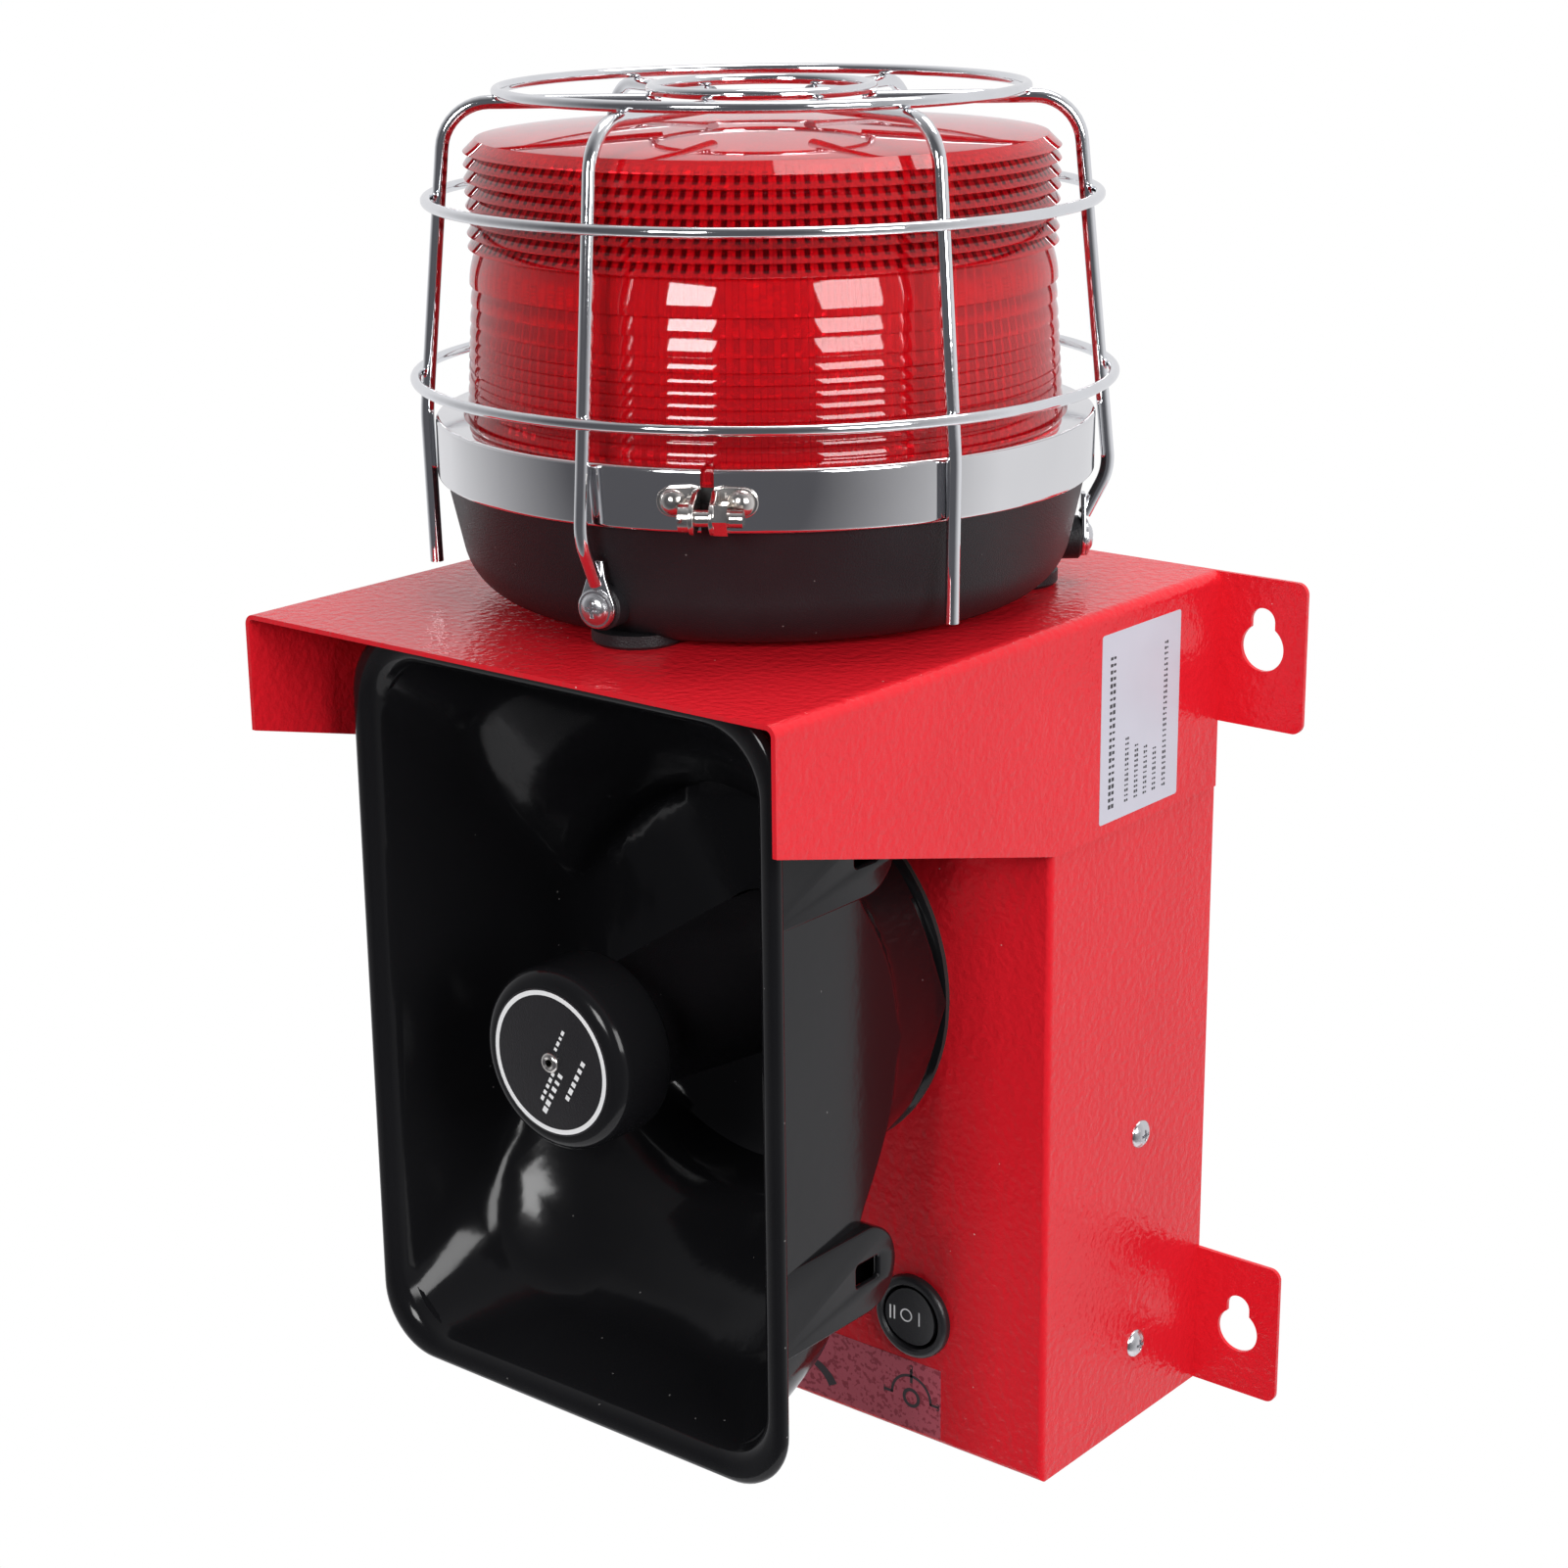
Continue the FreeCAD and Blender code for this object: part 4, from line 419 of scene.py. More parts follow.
def finished(name, mesh, material, body="enclosure", replaces=(), sharp=35, merge=1e-6):
    """Cleans a mesh, gives it its material and body, and hides the imported nodes it stands for."""
    b = bmesh.new()
    b.from_mesh(mesh)
    bmesh.ops.remove_doubles(b, verts=b.verts, dist=merge)
    bmesh.ops.dissolve_degenerate(b, edges=b.edges, dist=1e-7)
    bmesh.ops.recalc_face_normals(b, faces=b.faces)
    b.to_mesh(mesh)
    b.free()
    mesh.shade_smooth()
    mesh.set_sharp_from_angle(angle=math.radians(sharp))
    mesh.materials.clear()
    mesh.materials.append(material)
    obj = bpy.data.objects.new(name, mesh)
    scene.collection.objects.link(obj)
    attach(obj, body)
    if replaces:
        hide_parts(*replaces)
    print(name, len(mesh.vertices), "points", len(mesh.polygons), "faces")
    return obj


def grid_faces(rings, across, wrap_rings=True, wrap_across=True, start=0):
    """Four-sided faces between rings of points."""
    faces = []
    for i in range(rings if wrap_rings else rings - 1):
        for j in range(across if wrap_across else across - 1):
            a, b = i * across + j, i * across + (j + 1) % across
            c, d = ((i + 1) % rings) * across + (j + 1) % across, ((i + 1) % rings) * across + j
            faces.append((start + a, start + b, start + c, start + d))
    return faces


def turn(outline, columns, first=0.0, last=360.0):
    """Points and faces of a closed (radius, height) outline carried round, in local millimetres."""
    whole = abs(last - first - 360.0) < 1e-6
    count = columns if whole else columns + 1
    angles = np.radians(np.linspace(first, last, columns + 1)[:count])
    outline = np.asarray(outline, float)
    points = [(r * math.cos(a), r * math.sin(a), z) for a in angles for r, z in outline]
    faces = grid_faces(count, len(outline), wrap_rings=whole)
    if not whole:
        faces += [tuple(range(len(outline))), tuple(range((count - 1) * len(outline), count * len(outline)))]
    return np.array(points), faces


def bend(centre, radius, first, last, steps=6):
    """Points on an arc, in degrees, for an outline's rounded edge."""
    return [(centre[0] + radius * math.cos(math.radians(a)), centre[1] + radius * math.sin(math.radians(a)))
            for a in np.linspace(first, last, steps + 1)]


# %% [markdown]
# ## Beacon lens
# The lens is a fluted red moulding. Outside, from the top: a chamfer, seven
# louvres like roof shingles, a plain bulging window, and ten curved ribs.
# Inside, fine upright flutes spread the light. One outline holds the
# outside, and a Geometry Nodes tree presses the flutes into the inner wall.

# %% Lens outline
FLUTE_DEPTH, LOUVRE_DEPTH, BULGE_DEPTH, RIB_DEPTH = 0.7, 1.9, 1.8, 0.9
RIB_EDGES = (78.7, 74.1, 69.7, 66.3, 63.5, 60.7, 57.9, 55.1, 52.3, 49.5, 46.6)
lens_bottom = (lens_low.z - HOOD_TOP) / MM
lens_top = (lens_high.z - HOOD_TOP) / MM
flange_radius = (lens_high.x - lens_low.x) / MM / 2
foot, waist, head = 74.6, 72.6, 73.2
FLANGE_TOP, WAIST_HEIGHT = 45.4, 79.0
crown_radius, chamfer_top, wall = 70.2, 113.6, 2.4


def lens_wall(z):
    """Outside radius of the lens body at a height."""
    return float(np.interp(z, [FLANGE_TOP, WAIST_HEIGHT, LENS_SHOULDER], [foot, waist, head]))


outline = [(0.0, lens_top)]
dome = (crown_radius ** 2 + (lens_top - chamfer_top) ** 2) / (2 * (lens_top - chamfer_top))
for r in (8, 14, 14.6, 22, 30, 38, 46, 54, 61, crown_radius - 1.5):
    outline.append((r, lens_top - dome + math.sqrt(dome ** 2 - r ** 2)))
outline += [(crown_radius, chamfer_top - 0.1), (head, LENS_SHOULDER)]
step = (LENS_SHOULDER - WINDOW_TOP) / LOUVRES
for k in range(LOUVRES):
    top = LENS_SHOULDER - k * step
    outline += [(lens_wall(top) - LOUVRE_DEPTH, top - 0.3), (lens_wall(top) - 0.2, top - step + 0.5),
                (lens_wall(top), top - step + 0.15)]


def shingle(top, bottom, inset, steps):
    """A curved face that starts inset and swells out to its lower edge."""
    return [(lens_wall(top) - inset * (1 - math.sin(math.pi / 2 * s)), top + (bottom + 0.1 - top) * s)
            for s in np.linspace(0, 1, steps + 1)]


outline += shingle(WINDOW_TOP - 0.1, RIB_EDGES[0], BULGE_DEPTH, 10)
for top, bottom in zip(RIB_EDGES, RIB_EDGES[1:]):
    outline += shingle(top - 0.1, bottom, RIB_DEPTH, 5)
outline += [(foot - 0.3, FLANGE_TOP), (flange_radius, FLANGE_TOP), (flange_radius, lens_bottom)]
outside_count = len(outline)
inner = [(foot - wall, lens_bottom), (waist - wall, 74.6), (head - wall - 0.9, LENS_SHOULDER - 1.0),
         (crown_radius - wall, chamfer_top - wall)]
inner += [(r, lens_top - wall - dome + math.sqrt(dome ** 2 - r ** 2)) for r in (56, 40, 22)]
inner.append((0.0, lens_top - wall))
outline += inner
print("lens outline", len(outline), "points")

# %% Lens flutes by Geometry Nodes
def new_tree(name, inputs):
    """A Geometry Nodes tree with its named inputs, one geometry output, and its two end nodes."""
    tree = bpy.data.node_groups.new(name, "GeometryNodeTree")
    for label, kind in inputs:
        tree.interface.new_socket(label, in_out="INPUT", socket_type="NodeSocket" + kind)
    tree.interface.new_socket("Geometry", in_out="OUTPUT", socket_type="NodeSocketGeometry")
    return tree, tree.nodes.new("NodeGroupInput"), tree.nodes.new("NodeGroupOutput")


def close_tree(tree, geometry, source, result):
    """Ends a tree: real meshes in place of instances, then the material."""
    real = add(tree, "GeometryNodeRealizeInstances", Geometry=geometry)
    painted = add(tree, "GeometryNodeSetMaterial", Geometry=real.outputs[0],
                  Material=source.outputs["Material"])
    tree.links.new(painted.outputs[0], result.inputs[0])
    print("tree", tree.name, len(tree.nodes), "nodes")


flute_tree, source, result = new_tree("press_flutes", (("Geometry", "Geometry"), ("Flutes", "Float"),
                                                       ("Depth", "Float"),
                                                       ("Material", "Material")))
where = add(flute_tree, "GeometryNodeInputPosition")
parts = add(flute_tree, "ShaderNodeSeparateXYZ", Vector=where.outputs[0])
turned_by = add(flute_tree, "ShaderNodeMath", {"operation": "ARCTAN2"}, i0=parts.outputs["Y"],
                i1=parts.outputs["X"])
share = add(flute_tree, "ShaderNodeMath", {"operation": "MULTIPLY"}, i0=turned_by.outputs[0],
            i1=source.outputs["Flutes"])
ripple = add(flute_tree, "ShaderNodeMath", {"operation": "COSINE"}, i0=share.outputs[0])
amount = add(flute_tree, "ShaderNodeMath", {"operation": "MULTIPLY"}, i0=ripple.outputs[0],
             i1=source.outputs["Depth"])
inside = add(flute_tree, "GeometryNodeInputNamedAttribute", {"data_type": "FLOAT"}, Name="inside")
flat = add(flute_tree, "ShaderNodeCombineXYZ", X=parts.outputs["X"], Y=parts.outputs["Y"])
outward = add(flute_tree, "ShaderNodeVectorMath", {"operation": "NORMALIZE"}, i0=flat.outputs[0])
masked = add(flute_tree, "ShaderNodeMath", {"operation": "MULTIPLY"}, i0=amount.outputs[0],
             i1=inside.outputs[0])
push = add(flute_tree, "ShaderNodeVectorMath", {"operation": "SCALE"}, i0=outward.outputs[0],
           Scale=masked.outputs[0])
moved = add(flute_tree, "GeometryNodeSetPosition", Geometry=source.outputs["Geometry"],
            Offset=push.outputs[0])
close_tree(flute_tree, moved.outputs[0], source, result)


def grown(name, mesh, tree, inputs):
    """Runs a Geometry Nodes tree on a mesh and gives back the plain mesh it makes."""
    obj = bpy.data.objects.new(name + "_source", mesh)
    scene.collection.objects.link(obj)
    modifier = obj.modifiers.new(tree.name, "NODES")
    modifier.node_group = tree
    for item in tree.interface.items_tree:
        if item.in_out == "INPUT" and item.name in inputs:
            modifier[item.identifier] = inputs[item.name]
    bpy.context.view_layer.update()
    plain = bpy.data.meshes.new_from_object(obj.evaluated_get(bpy.context.evaluated_depsgraph_get()))
    plain.name = name
    obj.modifiers.clear()
    bpy.data.objects.remove(obj)
    return plain


def set_on_beacon(mesh):
    """Moves a mesh made in local millimetres to its place on the beacon."""
    local = np.zeros(len(mesh.vertices) * 3)
    mesh.vertices.foreach_get("co", local)
    mesh.vertices.foreach_set("co", on_beacon(local.reshape(-1, 3)).ravel())
    mesh.update()
    return mesh


points, faces = turn(outline, LENS_FLUTES * 2)
lens_mesh = bpy.data.meshes.new("lens_blank")
lens_mesh.from_pydata([tuple(p) for p in points], [], faces)
flags = lens_mesh.attributes.new("inside", "FLOAT", "POINT")
per_ring = [0.0] * (outside_count + 1) + [1.0, 1.0, 0.6] + [0.0] * (len(inner) - 4)
flags.data.foreach_set("value", np.tile(per_ring, LENS_FLUTES * 2))
lens_mesh = grown("lens_red", lens_mesh, flute_tree, {"Flutes": float(LENS_FLUTES), "Depth": FLUTE_DEPTH,
                                                      "Material": lens_red})
finished("lens_red", set_on_beacon(lens_mesh), lens_red, replaces=["lens"], sharp=25)

# %% [markdown]
# ## Clamp band
# A polished band is bent round the seam and drawn together by a screw. Its
# top and bottom edges fold in over the lens flange and the base rim, and it
# stops at each side of a narrow gap.

# %% Clamp band
band_low, band_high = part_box("clamp_band")
low, high = (band_low.z - HOOD_TOP) / MM, (band_high.z - HOOD_TOP) / MM
band_out = (band_high.x - band_low.x) / MM / 2
THICK, GAP, GAP_ANGLE, EDGE = 0.8, 3.1, -59.8, 1.1
TOP_FOLD, LOWER_FOLD = 75.5, 80.9
outline = bend((band_out - EDGE, low + EDGE), EDGE, -90, 0)
outline += bend((band_out - EDGE, high - EDGE), EDGE, 0, 90)
outline += [(TOP_FOLD, high), (TOP_FOLD, high - THICK), (band_out - THICK, high - THICK),
            (band_out - THICK, low + THICK), (LOWER_FOLD, low + THICK), (LOWER_FOLD, low)]
half_gap = math.degrees(GAP / 2 / band_out)
points, faces = turn(outline, 240, half_gap, 360 - half_gap)
piece("clamp_band_polished", on_beacon(points, GAP_ANGLE), faces, band_mirror, replaces=["clamp_band"])

# %% [markdown]
# ## Guard cage
# Six chromed ribs stand round the lens, bent in over its top, and four rings
# are welded to them. A rib is one bent wire, so one tree bends the wire along
# a path and sets its copies round the beacon's axis. The rings use the same
# tree with a single copy.

# %% Wire tree
wire_tree, source, result = new_tree("bent_wire_round_axis", (
    ("Geometry", "Geometry"), ("Wire Radius", "Float"), ("Copies", "Int"), ("First Angle", "Float"),
    ("Step Angle", "Float"), ("Material", "Material")))
path = add(wire_tree, "GeometryNodeMeshToCurve", Mesh=source.outputs["Geometry"])
circle = add(wire_tree, "GeometryNodeCurvePrimitiveCircle", Resolution=20,
             Radius=source.outputs["Wire Radius"])
wire = add(wire_tree, "GeometryNodeCurveToMesh", Curve=path.outputs[0], i1=circle.outputs[0], Fill_Caps=True)
stations = add(wire_tree, "GeometryNodePoints", Count=source.outputs["Copies"])
number = add(wire_tree, "GeometryNodeInputIndex")
turn_by = add(wire_tree, "ShaderNodeMath", {"operation": "MULTIPLY_ADD"}, i0=number.outputs[0],
              i1=source.outputs["Step Angle"], i2=source.outputs["First Angle"])
spin = add(wire_tree, "ShaderNodeCombineXYZ", Z=turn_by.outputs[0])
copies = add(wire_tree, "GeometryNodeInstanceOnPoints", Points=stations.outputs[0], Instance=wire.outputs[0],
             Rotation=spin.outputs[0])
close_tree(wire_tree, copies.outputs[0], source, result)


# %% Wire paths
def wire_path(name, points, closed=False):
    """A line of edges through local points, for the wire tree."""
    mesh = bpy.data.meshes.new(name + "_path")
    count = len(points)
    edges = [(i, (i + 1) % count) for i in range(count if closed else count - 1)]
    mesh.from_pydata([tuple(p) for p in points], edges, [])
    return mesh


def eased(corners, radii, steps=10):
    """Corner points in a radial plane, with an arc in place of each inner corner."""
    corners = [Vector(c) for c in corners]
    path = [corners[0]]
    for i, radius in enumerate(radii):
        corner = corners[i + 1]
        back_way, on_way = (corners[i] - corner).normalized(), (corners[i + 2] - corner).normalized()
        half_angle = back_way.angle(on_way) / 2
        centre = corner + (back_way + on_way).normalized() * radius / math.sin(half_angle)
        enter = corner + back_way * radius / math.tan(half_angle) - centre
        leave = corner + on_way * radius / math.tan(half_angle) - centre
        path += [centre + enter.slerp(leave, s / steps).normalized() * radius for s in range(steps + 1)]
    return [(p.x, 0.0, p.y) for p in path + [corners[-1]]]


def wires(name, path, radius, copies, first, step_angle, replaces):
    """A set of chromed wires round the beacon."""
    mesh = grown(name, path, wire_tree, {"Wire Radius": radius, "Copies": copies,
                                         "First Angle": math.radians(first),
                                         "Step Angle": math.radians(step_angle), "Material": chrome_wire})
    return finished(name, set_on_beacon(mesh), chrome_wire, replaces=replaces, sharp=50)


# %% Rings and ribs
RING_WIRE, RIB_WIRE, WELD = 1.345, 1.7, 0.1
rings = {}
for name in ("cage_top_ring", "cage_eye_ring", "cage_mid_ring", "cage_low_ring"):
    ring_low, ring_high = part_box(name)
    radius = (ring_high.x - ring_low.x) / MM / 2 - RING_WIRE
    height = ((ring_high.z + ring_low.z) / 2 - HOOD_TOP) / MM
    rings[name] = (radius, height)
    stations = np.linspace(0, 2 * math.pi, 161)[:-1]
    circle_points = [(radius * math.cos(a), radius * math.sin(a), height) for a in stations]
    wires(name + "_wire", wire_path(name, circle_points, closed=True), RING_WIRE, 1, 0, 0, [name])
inset = RING_WIRE + RIB_WIRE - WELD
spoke = rings["cage_top_ring"][1] - inset
mid = (rings["cage_mid_ring"][0] - inset, rings["cage_mid_ring"][1])
foot_ring = (rings["cage_low_ring"][0] - inset, rings["cage_low_ring"][1])
lean = (foot_ring[0] - mid[0]) / (foot_ring[1] - mid[1])


def rib_at(height):
    """How far out a rib's straight side is at a height."""
    return mid[0] + lean * (height - mid[1])


eye_end = (rings["cage_eye_ring"][0] - 2.5, spoke)
SPADE_OUT, SPADE_HEIGHT, SPADE_THICK = 79.71, 11.5, 1.2
shoulder_point = (rib_at(spoke), spoke)
free_path = eased([eye_end, shoulder_point, (rib_at(high), high), (foot_ring[0] + 0.2, 7.6)], [12.0, 60.0])
eyed_path = eased([eye_end, shoulder_point, (rib_at(29.0), 29.0), (SPADE_OUT + 1.0, SPADE_HEIGHT + 6.0)],
                  [12.0, 14.0])
wires("cage_ribs_free", wire_path("free_rib", free_path), RIB_WIRE, 3, -20, 120, ["cage_ribs"])
wires("cage_ribs_eyed", wire_path("eyed_rib", eyed_path), RIB_WIRE, 3, -80, 120, ["cage_ribs"])


# %% [markdown]
# Every second rib ends in a flattened eye under a screw. The eye is a flat
# outline with a hole, given thickness and rounded edges, and a copy is set
# at each of these ribs.

# %% Flat outlines
def flat_plate(name, outlines, thickness, edge=0.0):
    """A flat curve with holes, made a plain mesh: local X across, Y up, Z out of its face."""
    curve = bpy.data.curves.new(name, "CURVE")
    curve.dimensions, curve.fill_mode = "2D", "BOTH"
    curve.extrude, curve.bevel_depth, curve.bevel_resolution = thickness / 2 - edge, edge, 2
    curve.offset = -edge
    for outline_points in outlines:
        spline = curve.splines.new("POLY")
        spline.points.add(len(outline_points) - 1)
        for point, (x, y) in zip(spline.points, outline_points):
            point.co = (x, y, 0, 1)
        spline.use_cyclic_u = True
    obj = bpy.data.objects.new(name, curve)
    scene.collection.objects.link(obj)
    bpy.context.view_layer.update()
    mesh = bpy.data.meshes.new_from_object(obj.evaluated_get(bpy.context.evaluated_depsgraph_get()))
    bpy.data.objects.remove(obj)
    return mesh


def arc_points(x, y, radius, first, last, steps=16):
    return [(x + radius * math.cos(math.radians(a)), y + radius * math.sin(math.radians(a)))
            for a in np.linspace(first, last, steps + 1)]


def joined_mesh(name, parts):
    """Several meshes, each with its own matrix, as one."""
    b = bmesh.new()
    for mesh, matrix in parts:
        copy = mesh.copy()
        copy.transform(matrix)
        b.from_mesh(copy)
    whole = bpy.data.meshes.new(name)
    b.to_mesh(whole)
    b.free()
    return whole


def beacon_face(angle, out_by, height):
    """Local X sideways, Y up, Z outwards, on the beacon at an angle."""
    a = math.radians(angle)
    outwards = Vector((math.cos(a), math.sin(a), 0))
    sideways = Vector((-math.sin(a), math.cos(a), 0))
    place = Vector((0, BEACON_Y, HOOD_TOP)) + outwards * out_by * MM + Vector((0, 0, height * MM))
    turn_matrix = Matrix((sideways, Vector((0, 0, 1)), outwards)).transposed().to_4x4()
    return Matrix.Translation(place) @ turn_matrix @ Matrix.Scale(MM, 4)


EYED_ANGLES = (-80, 40, 160)
eye_outline = arc_points(0, 0, 4.8, 160, 380, 24) + [(2.4, 7.5), (1.9, 11.5), (-1.9, 11.5), (-2.4, 7.5)]
eye_plate = flat_plate("eye", [eye_outline, arc_points(0, 0, 1.9, 0, 342, 19)], SPADE_THICK, 0.3)
eyes = joined_mesh("cage_rib_eyes", [(eye_plate, beacon_face(a, SPADE_OUT + SPADE_THICK / 2, SPADE_HEIGHT))
                                     for a in EYED_ANGLES])
finished("cage_rib_eyes", eyes, chrome_wire, replaces=["cage_ribs"])

# %% [markdown]
# ## Pan-head screws
# The screw heads have a flange, a low dome and a cross recess. One head is
# made as a turned shape with the cross pressed into its middle points, and
# its copies stand at the guard's eyes and on the sides of the box.


# %% Screw heads
def cross_head(radius, rise, recess=1.9, width=0.42, depth=0.9, flange=True):
    """A pan head with a cross recess: a grid of points, lifted by a rule. Local Z is outwards."""
    count, points, faces = 56, [], []
    rim = [1.0, 0.985, 0.9, 0.8, 0.70, 0.66] if flange else [1.0, 0.99, 0.96, 0.90, 0.82, 0.7]
    levels = rim + list(np.linspace(0.6, 0.0, 14))
    for share_out in levels:
        for k in range(count):
            a = 2 * math.pi * k / count
            x, y = radius * share_out * math.cos(a), radius * share_out * math.sin(a)
            lift = rise * math.sqrt(max(0.0, 1 - (share_out / 0.72) ** 2)) if flange else \
                rise * (1 - share_out ** 2.6)
            z = (0.75 if flange else 0.3) * min(1, (1 - share_out) * 40) + lift * 0.8
            inside_cross = (abs(x) < width and abs(y) < recess) or (abs(y) < width and abs(x) < recess)
            points.append((x, y, z - depth if inside_cross else z))
    faces = grid_faces(len(levels), count, wrap_rings=False)
    base = len(points)
    points += [(radius * math.cos(2 * math.pi * k / count), radius * math.sin(2 * math.pi * k / count), 0)
               for k in range(count)]
    faces += [(k, (k + 1) % count, base + (k + 1) % count, base + k) for k in range(count)]
    faces.append(tuple(base + k for k in range(count)))
    mesh = bpy.data.meshes.new("head")
    mesh.from_pydata(points, [], faces)
    return mesh


CAGE_HEAD_RADIUS, SIDE_HEAD_RADIUS = 4.75, 3.9
cage_head = cross_head(CAGE_HEAD_RADIUS, 1.7)
SCREW_SEAT = SPADE_OUT + SPADE_THICK
heads = joined_mesh("cage_screw_heads", [(cage_head, beacon_face(a, SCREW_SEAT, SPADE_HEIGHT))
                                         for a in EYED_ANGLES])
finished("cage_screw_heads", heads, screw_zinc, replaces=["cage_screws"], sharp=28)
side_head = cross_head(SIDE_HEAD_RADIUS, 1.9, recess=1.5, width=0.36, flange=False)
side_low, side_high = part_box("side_screws")
box_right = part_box("box_body")[1].x
screw_spots = sorted({round(z, 5) for z in (side_low.z + SIDE_HEAD_RADIUS * MM, side_high.z -
                                            SIDE_HEAD_RADIUS * MM)})
side_y = (side_low.y + side_high.y) / 2
side_parts = []
for z in screw_spots:
    for side in (-1, 1):
        outward_turn = Matrix.Rotation(side * math.pi / 2, 4, "Y")
        matrix = Matrix.Translation((side * box_right, side_y, z)) @ outward_turn @ Matrix.Scale(MM, 4)
        side_parts.append((side_head, matrix))
finished("side_screw_heads", joined_mesh("side_screw_heads", side_parts), screw_zinc,
         replaces=["side_screws"],
         sharp=28)

# %% [markdown]
# ## Clamp fittings
# Two pressed brackets are riveted to the band's ends. Each has a round-ended
# plate that follows the band, and a lug that stands out and down for the
# draw screw.

# %% Brackets, rivets and draw screw
PLATE_HEIGHT, PLATE_REACH, RIVET_AT, PLATE_THICK = 7.6, 12.0, 7.8, 1.2
bracket_middle = (low + high) / 2


def on_band(mesh, lift):
    """Bends a flat mesh (X along the band, Y up, Z out) round the band at its gap."""
    for v in mesh.vertices:
        along, rise, out_by = v.co
        angle = math.radians(GAP_ANGLE) + along / band_out
        r = band_out + lift + out_by
        v.co = (r * math.cos(angle) * MM, r * math.sin(angle) * MM + BEACON_Y, (bracket_middle + rise) *
                MM + HOOD_TOP)
    return mesh


for side, word in ((1, "right"), (-1, "left")):
    r = PLATE_HEIGHT / 2
    near_gap = GAP / 2
    end = PLATE_REACH - r
    shape = [(near_gap, -r * 0.85), (near_gap + 2.2, -r)] + arc_points(end, 0, r * 0.92, -80, 80, 14) + \
        [(near_gap + 2.2, r), (near_gap, r * 0.85)]
    shape = [(side * x, y) for x, y in shape]
    plate = flat_plate("plate", [shape], PLATE_THICK, 0.35)
    lug_shape = [(-1.2, 3.2), (2.4, 3.2)] + arc_points(4.6, -2.6, 4.1, 60, -120, 14) + [(-1.2, -4.6)]
    lug_hole = arc_points(4.6, -2.6, 2.1, 0, 340, 17)
    lug = flat_plate("lug", [lug_shape, lug_hole], PLATE_THICK, 0.3)
    stand = Matrix((Vector((0, 0, 1, side * (near_gap + PLATE_THICK / 2))), Vector((0, 1, 0, 0)),
                    Vector((1, 0, 0, 0.2)), Vector((0, 0, 0, 1))))
    lug.transform(stand)
    whole = joined_mesh("bracket", [(plate, Matrix.Identity(4)), (lug, Matrix.Identity(4))])
    finished("band_bracket_" + word + "_pressed", on_band(whole, PLATE_THICK / 2), bright_nickel,
             replaces=["band_bracket_" + word])
dome_outline = [(0.0, 2.0), (0.8, 1.93), (1.6, 1.65), (2.3, 1.2), (2.9, 0.55), (3.15, 0.15), (3.2, -0.3),
                (0.0, -0.3)]
dome_points, dome_faces = turn(dome_outline, 32)
rivet_mesh = bpy.data.meshes.new("rivet")
rivet_mesh.from_pydata([tuple(p) for p in dome_points], [], dome_faces)
rivet_turn = math.degrees(RIVET_AT / band_out)
rivet_lift = band_out + PLATE_THICK - 0.1
rivet_places = [beacon_face(GAP_ANGLE + s * rivet_turn, rivet_lift, bracket_middle) for s in (-1, 1)]
rivets = joined_mesh("band_rivet_heads", [(rivet_mesh, place) for place in rivet_places])
finished("band_rivet_heads", rivets, bright_nickel, replaces=["band_rivets"])

# %% [markdown]
# ## Horn bell
# The bell is one glossy black moulding. Outside, four nearly flat panels run
# back from the mouth and a round flare from the driver's flange cuts them
# off, so they end in curved creases. Inside, a rounded rectangle shrinks and
# turns round towards the throat. Rings of points are joined from the flange,
# along the outside, over the rolled lip and down the inside.


# %% Bell rings
def rounded_ring(width, height, corner, forward, corner_steps=14, side_steps=24):
    """A rounded rectangle with the same number of points whatever its size."""
    w, h = width / 2, height / 2
    r = min(corner, w - 0.3, h - 0.3)
    ring = []
    for k, (cx, cy) in enumerate(((w - r, h - r), (-w + r, h - r), (-w + r, -h + r), (w - r, -h + r))):
        corner_arc = arc_points(cx, cy, r, 90 * k, 90 * k + 90, corner_steps)
        nxt = ((-w + r, h), (-w, -h + r), (w - r, -h), (w, h - r))[k]
        last = corner_arc[-1]
        shares_on = [s / side_steps for s in range(1, side_steps)]
        ring += corner_arc + [(last[0] + (nxt[0] - last[0]) * s, last[1] + (nxt[1] - last[1]) * s)
                              for s in shares_on]
    return [(x, y, forward) for x, y in ring]


def smooth_through(keys, at):
    """A curve through key rows, with even slopes, read at one place along them."""
    keys = np.asarray(keys, float)
    t, values = keys[:, 0], keys[:, 1:]
    slopes = np.gradient(values, t, axis=0)
    i = int(np.clip(np.searchsorted(t, at) - 1, 0, len(t) - 2))
    run = t[i + 1] - t[i]
    s = (at - t[i]) / run
    a, b = 2 * s ** 3 - 3 * s ** 2 + 1, s ** 3 - 2 * s ** 2 + s
    c, d = -2 * s ** 3 + 3 * s ** 2, s ** 3 - s ** 2
    return a * values[i] + b * run * slopes[i] + c * values[i + 1] + d * run * slopes[i + 1]


rim_w, rim_h = (bell_high.x - bell_low.x) / MM, (bell_high.z - bell_low.z) / MM
rim_front, seat = -bell_low.y / MM, -bell_high.y / MM
LIP, LIP_THICK, LIP_CORNER, MOUTH_CORNER = 6.0, 3.0, 17.0, 22.0
# The black rear flange is a real mounting flange. Its 53 mm radius is set so it also fills the place of the
# bell's cast shadow on the front plate: partly painted shadow.
WALL, FLANGE, FLANGE_AND_SHADOW_R, BORE = 2.5, 4.0, 53.0, 21.0
front, depth = rim_front - LIP_THICK, rim_front - LIP_THICK - seat - FLANGE
mouth_w, mouth_h = rim_w - 2 * LIP + 1, rim_h - 2 * LIP + 1
print("bell", round(rim_w, 1), "by", round(rim_h, 1), "mm, depth", round(depth, 1), "mm")

